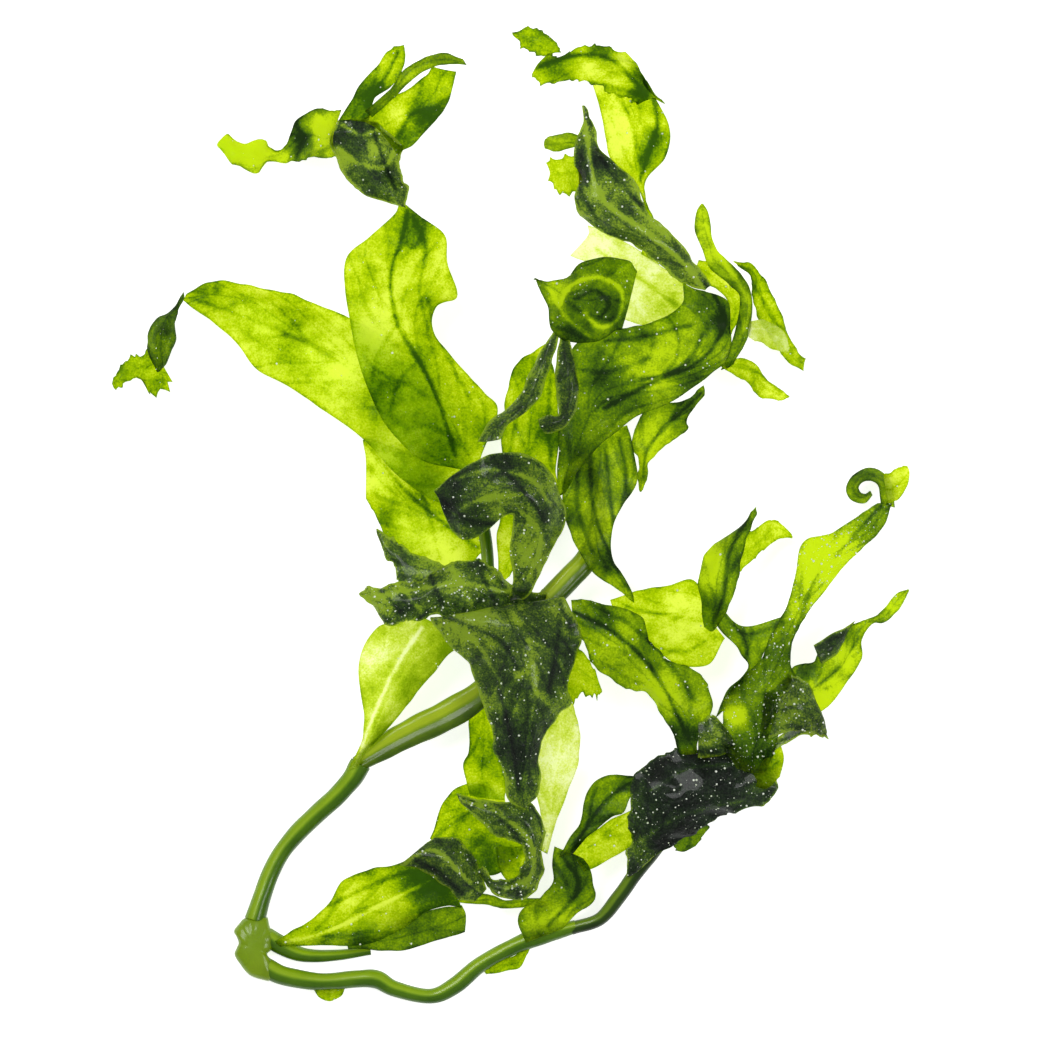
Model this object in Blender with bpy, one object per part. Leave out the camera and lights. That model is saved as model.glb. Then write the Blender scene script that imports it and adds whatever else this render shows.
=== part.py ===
"""A cut frond of green seaweed lying on a flat surface.

Three stipes fork from one cut base and end in thin blades that fold, curl and lie over each other.
X runs to the right and Y up the frond as it is seen from above, and Z points up from the surface.
Every station is a real place in millimetres, measured from a point near the middle of the frond."""

import math

import bmesh
import bpy
from mathutils import Vector

MM = 0.001

BLADE_THICKNESS = 0.6
BLADE_STEPS_ACROSS = 2
STIPE_SIDES = 8
JUNCTION_HEIGHT = 5.6
JUNCTION_ROUNDING = 1.3
FRAME_ORIGIN = Vector((3.3, -5.0, 0.0))

STIPE_GREEN = (0.20, 0.42, 0.02, 1.0)
LIGHT_GREEN = (0.40, 0.62, 0.02, 1.0)
LEAF_GREEN = (0.22, 0.40, 0.02, 1.0)
DARK_GREEN = (0.03, 0.07, 0.02, 1.0)
STIPE_ROUGHNESS = 0.35
BLADE_ROUGHNESS = 0.30


def finish(piece, colour, roughness):
    """Give a piece its own wet, non-metallic green."""
    material = bpy.data.materials.new(piece.name)
    material.use_nodes = True
    shader = material.node_tree.nodes["Principled BSDF"]
    shader.inputs["Base Color"].default_value = colour
    shader.inputs["Roughness"].default_value = roughness
    shader.inputs["Metallic"].default_value = 0.0
    piece.data.materials.append(material)


def add_piece(name, bm, colour, roughness):
    """Turn a bmesh in millimetres into a named object in metres."""
    bmesh.ops.translate(bm, verts=bm.verts, vec=-FRAME_ORIGIN)
    bmesh.ops.scale(bm, verts=bm.verts, vec=(MM, MM, MM))
    mesh = bpy.data.meshes.new(name)
    bm.to_mesh(mesh)
    bm.free()
    mesh.shade_smooth()
    piece = bpy.data.objects.new(name, mesh)
    bpy.context.scene.collection.objects.link(piece)
    finish(piece, colour, roughness)
    return piece


def smooth_line(points, steps):
    """Points of a Catmull-Rom curve that passes through all the given points."""
    points = [Vector(point) for point in points]
    before = [2 * points[0] - points[1]] + points[:-1]
    after = points[1:] + [2 * points[-1] - points[-2]]
    line = []
    for i in range(len(points) - 1):
        p0, p1, p2, p3 = before[i], points[i], points[i + 1], after[i + 1]
        for step in range(steps):
            t = step / steps
            line.append(0.5 * (2 * p1 + (p2 - p0) * t + (2 * p0 - 5 * p1 + 4 * p2 - p3) * t ** 2
                               + (3 * p1 - p0 - 3 * p2 + p3) * t ** 3))
    line.append(points[-1])
    return line


def blade(name, ribs, colour, along=1):
    """A thin blade through its ribs, from base to tip.

    Each rib runs from the left margin over the midrib to the right margin."""
    rows = [smooth_line(rib, BLADE_STEPS_ACROSS) for rib in ribs]
    lines = [smooth_line(line, along) for line in zip(*rows)]
    bm = bmesh.new()
    verts = [[bm.verts.new(point) for point in line] for line in lines]
    for left, right in zip(verts, verts[1:]):
        for i in range(len(left) - 1):
            bm.faces.new((left[i], right[i], right[i + 1], left[i + 1]))
    piece = add_piece(name, bm, colour, BLADE_ROUGHNESS)
    skin = piece.modifiers.new("Blade thickness", "SOLIDIFY")
    skin.thickness = BLADE_THICKNESS * MM
    skin.offset = 0.0
    return piece


def stipe(name, stations, colour, along=2):
    """A round or flattened stem through stations of (x, y, z, half width, half height).

    Where it presses on the surface its underside is flat."""
    centres = smooth_line([station[:3] for station in stations], along)
    sizes = smooth_line([(station[3], station[4], 0.0) for station in stations], along)
    bm = bmesh.new()
    rings = []
    for i, (centre, size) in enumerate(zip(centres, sizes)):
        ahead = centres[min(i + 1, len(centres) - 1)] - centres[max(i - 1, 0)]
        side = ahead.cross(Vector((0.0, 0.0, 1.0))).normalized()
        up = side.cross(ahead).normalized()
        ring = []
        for k in range(STIPE_SIDES):
            turn = 2 * math.pi * (k + 0.5) / STIPE_SIDES
            point = centre + side * size.x * math.cos(turn) + up * size.y * math.sin(turn)
            point.z = max(point.z, 0.0)
            ring.append(bm.verts.new(point))
        rings.append(ring)
    for ring, following in zip(rings, rings[1:]):
        for k in range(STIPE_SIDES):
            n = (k + 1) % STIPE_SIDES
            bm.faces.new((ring[k], ring[n], following[n], following[k]))
    bm.faces.new(rings[0])
    bm.faces.new(rings[-1])
    bmesh.ops.recalc_face_normals(bm, faces=bm.faces)
    return add_piece(name, bm, colour, STIPE_ROUGHNESS)


def clear_scene():
    """Start from an empty scene."""
    for item in list(bpy.data.objects):
        bpy.data.objects.remove(item, do_unlink=True)


def base_and_stipes():
    """The cut base, the three stipes that leave it, and the stems that carry the blades."""
    # The base is cut off ragged on its left, and the stipes leave it at the top and on the right.
    outline = [(-70.8, -126.0), (-76.0, -126.0), (-78.4, -127.2), (-79.8, -129.4), (-78.9, -132.6),
               (-79.4, -136.2), (-77.4, -139.6), (-74.8, -142.2), (-71.4, -143.4), (-71.4, -137.6),
               (-72.6, -135.8), (-71.0, -134.2), (-70.4, -129.2), (-71.6, -127.8)]
    bm = bmesh.new()
    floor = bm.faces.new([bm.verts.new((x, y, 0.0)) for x, y in outline])
    grown = bmesh.ops.extrude_face_region(bm, geom=[floor])
    top = [item for item in grown["geom"] if isinstance(item, bmesh.types.BMVert)]
    bmesh.ops.translate(bm, verts=top, vec=(0.0, 0.0, JUNCTION_HEIGHT))
    bmesh.ops.recalc_face_normals(bm, faces=bm.faces)
    junction = add_piece("base_junction", bm, STIPE_GREEN, STIPE_ROUGHNESS)
    rounding = junction.modifiers.new("Rounded edges", "BEVEL")
    rounding.width = JUNCTION_ROUNDING * MM
    rounding.segments = 1
    rounding.limit_method = "ANGLE"
    rounding.angle_limit = math.radians(50)

    stipe("left_stipe", [
        (-73.2, -124.9, 2.6, 3.0, 2.9), (-71.4, -119.0, 2.4, 2.8, 2.7), (-68.7, -111.6, 2.2, 2.6, 2.5),
        (-64.5, -104.2, 2.2, 2.6, 2.5), (-57.6, -96.6, 3.4, 2.8, 2.6), (-49.5, -89.2, 5.6, 2.9, 2.6),
        (-44.6, -83.8, 7.4, 3.0, 2.4), (-42.4, -80.0, 8.2, 3.2, 2.2)], STIPE_GREEN)
    stipe("middle_stipe", [
        (-69.0, -131.4, 2.4, 2.8, 2.7), (-65.6, -133.6, 2.3, 2.9, 2.6), (-59.0, -136.4, 1.9, 2.2, 2.2),
        (-50.0, -136.6, 1.5, 1.7, 1.6), (-40.0, -135.4, 1.2, 1.3, 1.3)], STIPE_GREEN)
    stipe("lower_stipe", [
        (-69.8, -140.4, 2.6, 3.0, 2.9), (-64.5, -142.8, 2.5, 2.9, 2.8), (-54.0, -144.4, 2.3, 2.6, 2.6),
        (-43.0, -143.6, 2.3, 2.6, 2.6), (-37.0, -143.8, 2.3, 2.8, 2.6), (-31.5, -146.6, 2.2, 2.4, 2.4),
        (-21.0, -148.8, 2.0, 2.2, 2.2), (-13.5, -145.6, 2.1, 2.6, 2.3), (-6.0, -139.4, 2.1, 2.4, 2.3),
        (3.0, -134.4, 2.2, 2.4, 2.3), (13.0, -130.4, 2.4, 2.8, 2.4), (21.6, -128.2, 2.6, 2.1, 2.2)],
        STIPE_GREEN)
    stipe("left_branch", [
        (-41.8, -78.5, 8.5, 2.6, 1.8), (-34.6, -74.0, 9.4, 3.7, 1.8), (-26.6, -69.6, 10.4, 4.2, 1.8),
        (-17.5, -65.2, 11.8, 4.6, 1.8), (-8.5, -60.0, 13.0, 4.2, 1.8), (-1.0, -53.4, 14.2, 3.6, 2.0),
        (5.0, -45.6, 15.0, 3.4, 2.2), (10.4, -36.4, 15.4, 3.4, 2.4), (15.0, -29.6, 15.2, 3.6, 2.6)],
        STIPE_GREEN)
    stipe("right_stem", [
        (15.7, -28.9, 14.9, 3.6, 2.6), (21.0, -23.2, 14.0, 3.6, 2.6), (26.4, -17.0, 13.0, 3.4, 2.6),
        (29.4, -8.0, 12.2, 2.8, 2.4), (28.6, 3.0, 12.0, 2.4, 2.2), (25.0, 12.4, 13.8, 2.0, 2.0)],
        STIPE_GREEN)
    stipe("upper_stem", [
        (-2.9, -47.4, 14.4, 2.0, 1.8), (-2.8, -41.0, 14.0, 2.0, 1.8), (-3.4, -28.0, 13.4, 1.9, 1.8),
        (-4.0, -14.0, 12.4, 1.9, 1.8), (-6.2, -2.4, 11.4, 1.9, 1.7), (-8.0, 5.4, 10.4, 1.8, 1.5)],
        STIPE_GREEN)
    stipe("dark_stem", [
        (22.6, -128.1, 2.8, 2.0, 2.0), (30.0, -125.6, 3.8, 2.0, 1.9), (35.6, -119.0, 5.4, 2.2, 2.0),
        (40.8, -111.6, 7.4, 2.2, 2.0), (45.4, -106.0, 9.0, 2.2, 2.0), (49.0, -101.4, 12.0, 2.0, 1.8)],
        DARK_GREEN)


def left_blades():
    """The leaf, the two long blades and the small low blade on the left, with the curled left tip."""
    blade("left_leaf", [
        ((-44.8, -79.4, 10.9), (-43.4, -79.0, 11.0), (-41.8, -78.6, 10.9)),
        ((-43.0, -75.6, 11.2), (-41.6, -75.2, 10.8), (-40.0, -75.4, 11.2)),
        ((-41.0, -70.0, 11.8), (-38.6, -70.2, 10.8), (-35.6, -71.0, 12.6)),
        ((-40.8, -63.0, 12.6), (-34.8, -62.4, 10.8), (-29.0, -62.8, 14.4)),
        ((-42.0, -57.0, 13.4), (-33.0, -57.6, 10.6), (-24.6, -57.4, 16.2)),
        ((-42.4, -51.0, 14.2), (-30.6, -50.4, 11.0), (-19.6, -51.6, 17.8)),
        ((-40.8, -44.2, 15.2), (-27.6, -44.4, 12.2), (-15.0, -46.4, 19.0)),
        ((-36.6, -38.4, 16.2), (-24.6, -39.6, 13.4), (-12.6, -43.6, 19.4)),
        ((-31.4, -36.4, 17.2), (-22.8, -35.4, 15.4), (-15.6, -40.2, 18.4))], LIGHT_GREEN)
    blade("tall_blade", [
        ((-9.4, 5.6, 12.5), (-8.0, 6.2, 12.4), (-6.6, 6.6, 12.5)),
        ((-10.4, 8.6, 12.4), (-8.6, 11.2, 12.0), (-5.8, 12.6, 12.6)),
        ((-22.4, 11.4, 12.6), (-13.4, 21.0, 13.0), (-0.9, 26.4, 17.0)),
        ((-30.6, 18.0, 12.4), (-18.9, 31.2, 14.0), (-6.0, 33.6, 18.4)),
        ((-37.4, 28.4, 12.4), (-24.6, 42.8, 14.6), (-15.3, 43.8, 19.4)),
        ((-42.6, 42.0, 12.6), (-28.8, 50.4, 14.6), (-19.2, 51.0, 20.0)),
        ((-45.0, 54.0, 12.6), (-30.6, 56.4, 14.2), (-18.0, 57.6, 20.0)),
        ((-46.5, 63.0, 12.2), (-32.4, 63.6, 13.8), (-12.9, 61.5, 19.8)),
        ((-45.3, 73.2, 12.6), (-31.8, 71.4, 14.4), (-15.9, 70.8, 18.6)),
        ((-39.6, 79.2, 13.6), (-27.6, 77.4, 15.4), (-16.8, 79.2, 17.8)),
        ((-32.4, 85.2, 15.6), (-27.0, 83.4, 16.0), (-23.1, 84.9, 17.0)),
        ((-30.3, 88.2, 16.8), (-29.1, 88.5, 16.8), (-27.9, 88.2, 17.0))], LIGHT_GREEN)
    blade("long_left_blade", [
        ((-9.2, 6.3, 9.7), (-8.3, 6.2, 9.3), (-7.3, 6.4, 9.5)),
        ((-11.4, 7.2, 8.6), (-11.7, 10.0, 8.2), (-11.1, 13.0, 8.6)),
        ((-17.4, -0.9, 6.6), (-18.0, 20.0, 7.4), (-14.4, 28.5, 8.8)),
        ((-30.0, 6.6, 6.4), (-26.4, 28.5, 6.6), (-22.5, 37.5, 8.8)),
        ((-41.1, 18.0, 5.6), (-36.0, 36.0, 4.6), (-32.4, 47.4, 8.0)),
        ((-52.5, 26.4, 4.4), (-46.5, 41.7, 2.0), (-45.0, 54.3, 7.0)),
        ((-63.0, 33.6, 3.4), (-56.4, 47.1, 0.3), (-54.6, 58.5, 6.2)),
        ((-72.6, 39.0, 3.0), (-66.0, 54.0, 0.3), (-66.0, 62.4, 5.6)),
        ((-79.2, 47.4, 3.2), (-74.4, 59.7, 1.2), (-75.6, 64.5, 5.2)),
        ((-86.4, 53.4, 4.2), (-83.4, 61.2, 3.2), (-83.4, 65.7, 5.8)),
        ((-92.4, 57.6, 5.8), (-90.6, 61.2, 5.4), (-89.4, 64.5, 6.8)),
        ((-94.8, 59.7, 7.2), (-94.5, 60.6, 7.2), (-93.9, 61.8, 7.4))], LIGHT_GREEN)
    blade("low_left_blade", [
        ((-9.0, -0.6, 10.6), (-8.8, -2.4, 10.4), (-9.0, -4.2, 10.6)),
        ((-17.4, 5.4, 4.4), (-16.5, -4.5, 3.4), (-14.4, -14.4, 4.0)),
        ((-23.4, 12.0, 3.2), (-22.5, -3.6, 1.6), (-18.0, -19.8, 3.2)),
        ((-31.5, 15.6, 3.0), (-30.6, 0.6, 0.3), (-29.4, -13.5, 2.4)),
        ((-38.4, 18.0, 2.6), (-36.6, 6.0, 0.3), (-34.2, -3.6, 2.4)),
        ((-41.1, 17.7, 2.8), (-40.2, 11.4, 1.2), (-39.9, 1.5, 3.0))], LIGHT_GREEN)
    blade("left_tip_curl", [
        ((-95.6, 61.2, 7.4), (-95.3, 60.2, 7.6), (-95.2, 59.2, 7.4)),
        ((-98.4, 56.7, 7.4), (-97.5, 56.3, 8.6), (-96.9, 56.1, 7.4)),
        ((-102.6, 54.6, 5.4), (-99.9, 54.0, 8.8), (-97.2, 53.4, 6.0)),
        ((-105.3, 50.1, 4.2), (-101.4, 49.5, 8.8), (-97.5, 48.9, 5.0)),
        ((-105.6, 45.6, 3.8), (-102.0, 45.3, 8.0), (-98.4, 45.0, 4.6)),
        ((-103.8, 41.1, 4.0), (-101.7, 40.5, 6.2), (-99.6, 41.4, 4.4)),
        ((-102.9, 38.7, 4.2), (-102.6, 38.4, 4.4), (-102.0, 38.7, 4.2))], DARK_GREEN)
    blade("left_tip_claw", [
        ((-104.4, 44.4, 2.8), (-102.6, 40.5, 3.1), (-99.6, 36.9, 2.7)),
        ((-108.6, 42.6, 1.4), (-107.4, 39.6, 1.8), (-105.0, 35.4, 1.2)),
        ((-111.6, 41.1, 0.9), (-110.7, 38.1, 1.2), (-108.6, 36.9, 0.9)),
        ((-114.6, 38.1, 0.6), (-114.3, 35.7, 0.8), (-113.4, 34.2, 0.6)),
        ((-116.1, 34.2, 0.4), (-115.8, 33.6, 0.4), (-114.9, 32.7, 0.4))], LIGHT_GREEN)


def left_crown():
    """The torn, curled blades that crown the tall blade."""
    blade("crown_cup", [
        ((-31.0, 88.3, 17.9), (-29.6, 88.7, 18.0), (-28.2, 88.5, 18.1)),
        ((-38.4, 90.6, 20.4), (-33.0, 92.4, 17.8), (-27.4, 93.6, 21.4)),
        ((-45.0, 95.4, 23.0), (-36.6, 97.8, 18.4), (-27.9, 99.6, 23.8)),
        ((-49.2, 101.4, 23.4), (-39.6, 103.8, 19.0), (-28.2, 104.4, 23.6)),
        ((-50.1, 107.4, 23.2), (-41.4, 109.2, 19.6), (-31.8, 108.9, 23.2)),
        ((-48.6, 113.4, 22.4), (-43.2, 113.7, 20.6), (-36.6, 112.8, 22.6))], DARK_GREEN)
    blade("crown_upper_blade", [
        ((-47.8, 114.2, 22.2), (-44.2, 114.6, 21.4), (-39.4, 114.2, 22.4)),
        ((-44.4, 119.4, 23.0), (-41.4, 118.8, 22.4), (-37.5, 120.0, 23.6)),
        ((-41.4, 124.5, 24.4), (-37.5, 123.0, 24.0), (-33.0, 123.0, 25.4)),
        ((-37.2, 129.0, 25.0), (-33.6, 127.2, 25.4), (-30.0, 126.9, 26.4)),
        ((-34.5, 132.9, 24.4), (-31.5, 131.4, 25.6), (-28.2, 131.1, 26.0)),
        ((-31.8, 135.6, 23.6), (-30.3, 135.6, 24.0), (-28.8, 135.9, 24.2))], LEAF_GREEN)
    blade("crown_left_ribbon", [
        ((-50.7, 112.8, 22.0), (-50.9, 108.6, 22.6), (-50.3, 102.6, 22.9)),
        ((-57.0, 114.0, 18.3), (-57.0, 108.6, 15.5), (-58.2, 102.3, 17.5)),
        ((-62.4, 112.2, 13.8), (-60.9, 107.4, 12.3), (-61.8, 101.4, 13.2)),
        ((-66.9, 105.9, 9.6), (-66.3, 103.5, 9.3), (-67.2, 101.4, 9.8)),
        ((-70.5, 106.2, 6.6), (-70.8, 102.6, 5.4), (-71.1, 99.3, 6.4)),
        ((-76.8, 106.5, 3.4), (-77.1, 103.8, 2.2), (-78.0, 101.1, 3.2)),
        ((-81.9, 106.8, 1.4), (-81.6, 105.3, 0.8), (-81.6, 103.5, 1.0)),
        ((-84.6, 107.4, 0.3), (-84.6, 106.5, 0.3), (-84.3, 105.6, 0.3))], LEAF_GREEN)
    blade("crown_right_blade", [
        ((-36.2, 113.5, 22.8), (-33.9, 111.5, 22.8), (-31.5, 109.6, 23.0)),
        ((-30.0, 115.5, 21.6), (-29.1, 113.1, 20.6), (-26.4, 110.1, 21.8)),
        ((-26.4, 119.4, 21.0), (-24.0, 115.8, 19.4), (-20.4, 115.8, 21.0)),
        ((-22.5, 125.4, 20.8), (-19.2, 122.4, 19.2), (-15.6, 121.2, 20.4)),
        ((-20.4, 129.6, 21.0), (-16.8, 128.7, 20.2), (-13.2, 128.1, 20.6))], LIGHT_GREEN)
    blade("crown_top_ribbon", [
        ((-39.4, 117.0, 23.9), (-38.2, 116.2, 23.9), (-37.2, 115.2, 23.7)),
        ((-33.0, 122.4, 27.8), (-32.1, 121.5, 28.2), (-30.9, 120.6, 27.8)),
        ((-28.5, 128.4, 28.8), (-27.6, 126.6, 29.4), (-26.7, 125.1, 28.8)),
        ((-22.5, 132.0, 29.0), (-21.9, 130.2, 29.8), (-21.3, 128.7, 29.0)),
        ((-16.5, 133.5, 28.4), (-15.6, 132.0, 29.2), (-15.0, 130.2, 28.4)),
        ((-11.1, 131.7, 27.4), (-10.5, 130.8, 27.6), (-9.9, 129.9, 27.4))], DARK_GREEN)


def right_crown():
    """The dark upper ribbon, the bright top blade and the toothed crest that bends over at the top."""
    blade("dark_upper_ribbon", [
        ((60.0, 63.0, 25.6), (61.2, 64.2, 25.8), (62.4, 65.1, 26.0)),
        ((54.0, 65.1, 28.0), (57.6, 67.2, 29.6), (59.4, 69.0, 28.6)),
        ((46.5, 71.4, 31.0), (51.6, 73.2, 33.6), (54.9, 75.0, 32.0)),
        ((37.5, 76.8, 33.6), (43.5, 78.0, 36.6), (48.6, 81.6, 34.4)),
        ((28.5, 81.6, 35.2), (36.0, 83.4, 38.8), (43.5, 86.4, 36.0)),
        ((24.0, 87.0, 35.8), (30.6, 88.2, 39.6), (38.4, 90.6, 36.0)),
        ((23.1, 96.0, 35.2), (28.8, 94.8, 38.6), (34.8, 96.6, 35.4)),
        ((21.9, 102.0, 34.6), (27.0, 101.4, 37.2), (32.7, 102.0, 34.6)),
        ((23.4, 108.0, 34.0), (26.1, 107.1, 35.4), (29.4, 105.9, 34.0)),
        ((24.9, 113.4, 33.2), (26.4, 112.8, 33.8), (27.9, 111.9, 33.2)),
        ((24.6, 117.6, 32.4), (25.2, 117.6, 32.6), (25.8, 116.7, 32.4))], DARK_GREEN)
    blade("top_blade", [
        ((42.4, 74.8, 24.9), (45.0, 73.2, 24.6), (47.4, 71.6, 24.4)),
        ((43.8, 82.2, 23.0), (45.6, 82.8, 22.6), (47.4, 82.2, 23.0)),
        ((42.0, 91.5, 23.6), (44.4, 89.4, 22.4), (46.5, 87.6, 23.2)),
        ((38.4, 96.0, 25.0), (42.0, 95.4, 23.0), (45.3, 98.1, 24.6)),
        ((33.6, 100.5, 26.2), (40.5, 100.5, 23.4), (48.6, 103.5, 25.8)),
        ((32.4, 107.4, 26.6), (40.8, 107.1, 23.8), (51.0, 109.2, 26.6)),
        ((31.8, 115.8, 26.6), (40.2, 114.0, 24.4), (49.8, 114.0, 26.8)),
        ((27.6, 123.0, 26.4), (37.5, 120.6, 25.2), (46.5, 120.0, 26.6))], LIGHT_GREEN)
    blade("crest", [
        ((42.0, 120.6, 27.0), (45.0, 120.8, 27.3), (47.6, 120.9, 27.4)),
        ((38.4, 125.0, 30.4), (42.6, 126.0, 33.0), (45.6, 124.2, 30.8)),
        ((34.5, 126.0, 31.0), (38.4, 129.6, 34.6), (41.1, 130.2, 31.4)),
        ((30.0, 125.0, 31.0), (33.0, 130.2, 34.8), (36.0, 134.4, 31.4)),
        ((24.0, 125.4, 30.0), (27.6, 131.4, 33.4), (30.6, 136.8, 30.6)),
        ((18.0, 124.8, 28.4), (21.0, 130.2, 31.4), (24.0, 136.2, 29.2)),
        ((12.0, 125.4, 26.8), (14.7, 129.6, 29.0), (17.1, 133.2, 27.6)),
        ((9.6, 127.2, 25.8), (11.4, 130.2, 26.6), (13.8, 132.6, 26.2))], LEAF_GREEN)
    blade("oak_tip", [
        ((13.6, 133.3, 26.1), (15.4, 134.3, 26.6), (17.4, 134.7, 26.9)),
        ((10.2, 134.4, 24.4), (12.3, 136.5, 25.0), (14.1, 139.5, 24.4)),
        ((6.6, 136.2, 23.4), (8.1, 138.0, 23.8), (9.0, 140.7, 23.4)),
        ((5.4, 137.7, 22.6), (3.9, 138.9, 22.8), (3.6, 139.8, 22.6))], LIGHT_GREEN)


def upper_right_blades():
    """The broad olive blade with the blades beside, behind and over it."""
    blade("olive_blade", [
        ((17.2, 3.4, 20.0), (18.6, 3.0, 19.9), (20.4, 3.6, 20.0)),
        ((17.4, 18.0, 23.0), (23.4, 18.0, 22.2), (27.0, 13.5, 22.7)),
        ((18.0, 33.0, 25.0), (30.0, 31.2, 23.2), (40.5, 24.6, 23.3)),
        ((21.6, 45.0, 26.7), (36.6, 34.5, 24.3), (49.5, 28.5, 24.1)),
        ((30.0, 49.8, 27.7), (45.6, 36.6, 25.2), (57.0, 33.0, 24.6)),
        ((38.4, 51.6, 28.1), (54.6, 40.2, 25.8), (63.6, 38.1, 24.7)),
        ((45.0, 52.8, 27.9), (61.8, 45.6, 25.9), (68.4, 42.9, 24.2)),
        ((50.4, 55.2, 27.3), (65.4, 52.5, 25.0), (68.7, 51.6, 23.4)),
        ((54.6, 59.4, 26.5), (63.3, 59.4, 24.6), (68.1, 59.4, 23.3)),
        ((54.9, 64.8, 25.7), (57.6, 63.3, 25.3), (61.2, 62.4, 24.7))], LEAF_GREEN)
    blade("striped_blade", [
        ((22.5, 14.4, 16.5), (29.4, 18.0, 16.2), (38.4, 21.0, 18.0)),
        ((19.2, 6.0, 18.6), (30.0, 11.4, 16.9), (40.2, 14.4, 18.8)),
        ((18.6, 0.9, 19.2), (29.4, 4.5, 17.8), (41.1, 5.4, 19.6)),
        ((19.2, -4.5, 19.6), (27.6, -2.4, 18.4), (36.6, -1.5, 20.0)),
        ((21.0, -9.6, 20.0), (27.6, -9.0, 18.8), (33.3, -9.6, 20.0)),
        ((23.4, -15.0, 20.0), (29.1, -15.6, 19.2), (33.6, -16.8, 19.8)),
        ((28.5, -19.5, 19.0), (32.7, -20.4, 18.4), (36.3, -21.6, 18.0)),
        ((33.6, -23.1, 16.4), (36.9, -25.5, 15.6), (39.6, -27.6, 14.8)),
        ((37.2, -27.9, 13.2), (38.4, -29.4, 12.8), (40.2, -30.6, 12.4))], LIGHT_GREEN)
    blade("cup_blade", [
        ((41.6, 4.4, 18.9), (42.2, 3.6, 18.7), (43.2, 4.6, 18.7)),
        ((41.6, 10.5, 16.8), (42.9, 9.6, 14.8), (44.7, 9.9, 16.4)),
        ((41.1, 16.2, 15.4), (45.0, 15.3, 13.2), (48.0, 15.0, 15.6)),
        ((42.3, 22.5, 16.4), (48.0, 21.0, 14.2), (52.5, 18.0, 16.8)),
        ((46.5, 27.6, 17.6), (52.5, 24.6, 15.6), (57.0, 20.1, 18.0)),
        ((54.6, 29.4, 18.6), (56.4, 26.4, 17.4), (57.6, 22.2, 19.0)),
        ((60.9, 34.2, 19.6), (61.2, 33.0, 19.4), (61.2, 31.2, 19.6))], LEAF_GREEN)
    blade("back_blade", [
        ((-1.2, -14.6, 13.6), (-1.4, -15.8, 13.4), (-1.2, -17.0, 13.6)),
        ((2.4, -13.5, 14.4), (4.5, -14.1, 14.0), (6.6, -13.5, 14.4)),
        ((6.0, -0.6, 15.0), (12.0, -0.6, 13.2), (16.6, 0.0, 15.0)),
        ((1.5, 9.0, 16.2), (9.0, 9.0, 13.8), (16.8, 9.0, 16.0)),
        ((0.3, 18.0, 18.4), (9.0, 18.0, 14.8), (17.4, 18.0, 17.0)),
        ((1.2, 27.0, 19.8), (9.0, 27.0, 16.4), (17.4, 27.0, 18.4)),
        ((2.4, 33.6, 20.8), (9.0, 34.5, 18.6), (16.8, 34.5, 20.4)),
        ((6.0, 41.4, 22.4), (10.5, 41.4, 21.0), (15.6, 41.4, 22.4)),
        ((13.5, 46.5, 24.4), (14.4, 46.2, 24.2), (15.6, 45.6, 24.4))], LIGHT_GREEN)
    blade("curled_leaf", [
        ((11.4, 65.7, 29.4), (11.7, 65.4, 29.6), (12.3, 64.8, 29.4)),
        ((15.6, 65.4, 30.6), (16.8, 62.4, 32.2), (16.8, 59.4, 30.6)),
        ((19.8, 66.6, 32.0), (20.1, 60.0, 35.2), (17.4, 52.5, 31.4)),
        ((24.9, 71.1, 32.4), (24.0, 60.0, 36.8), (18.6, 49.6, 31.0)),
        ((31.5, 72.6, 31.6), (30.0, 60.6, 36.4), (27.0, 49.8, 31.0)),
        ((37.5, 71.4, 28.4), (36.0, 61.2, 33.0), (33.6, 50.1, 30.4)),
        ((40.8, 68.4, 26.8), (39.0, 60.6, 30.0), (36.6, 51.0, 29.2))], LEAF_GREEN)
    blade("yellow_fold", [
        ((27.6, 81.6, 24.9), (27.3, 78.0, 23.9), (27.6, 73.2, 24.3)),
        ((31.5, 80.4, 25.3), (31.8, 74.4, 23.1), (30.0, 68.4, 23.7)),
        ((42.0, 74.1, 25.1), (39.0, 67.5, 22.5), (34.2, 60.0, 22.9)),
        ((48.6, 69.6, 24.3), (45.6, 63.0, 22.1), (39.6, 56.4, 22.3)),
        ((54.6, 65.1, 24.6), (51.6, 59.4, 23.2), (46.2, 54.0, 24.2))], LIGHT_GREEN)
    blade("vertical_curl", [
        ((18.2, 49.4, 30.0), (19.4, 49.0, 30.0), (20.6, 49.4, 30.0)),
        ((18.9, 41.4, 33.0), (20.1, 40.8, 34.6), (21.9, 42.0, 33.0)),
        ((18.9, 36.0, 33.6), (21.0, 36.0, 35.6), (23.4, 36.0, 33.4)),
        ((18.6, 30.0, 33.6), (21.0, 30.0, 35.2), (23.1, 30.0, 33.2)),
        ((17.4, 25.2, 32.8), (19.2, 24.6, 34.4), (21.3, 24.0, 32.8)),
        ((14.4, 25.4, 32.0), (15.6, 22.8, 34.0), (16.8, 20.4, 32.0)),
        ((11.4, 24.0, 31.0), (12.0, 21.9, 32.6), (13.5, 19.8, 31.0))], DARK_GREEN)
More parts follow.
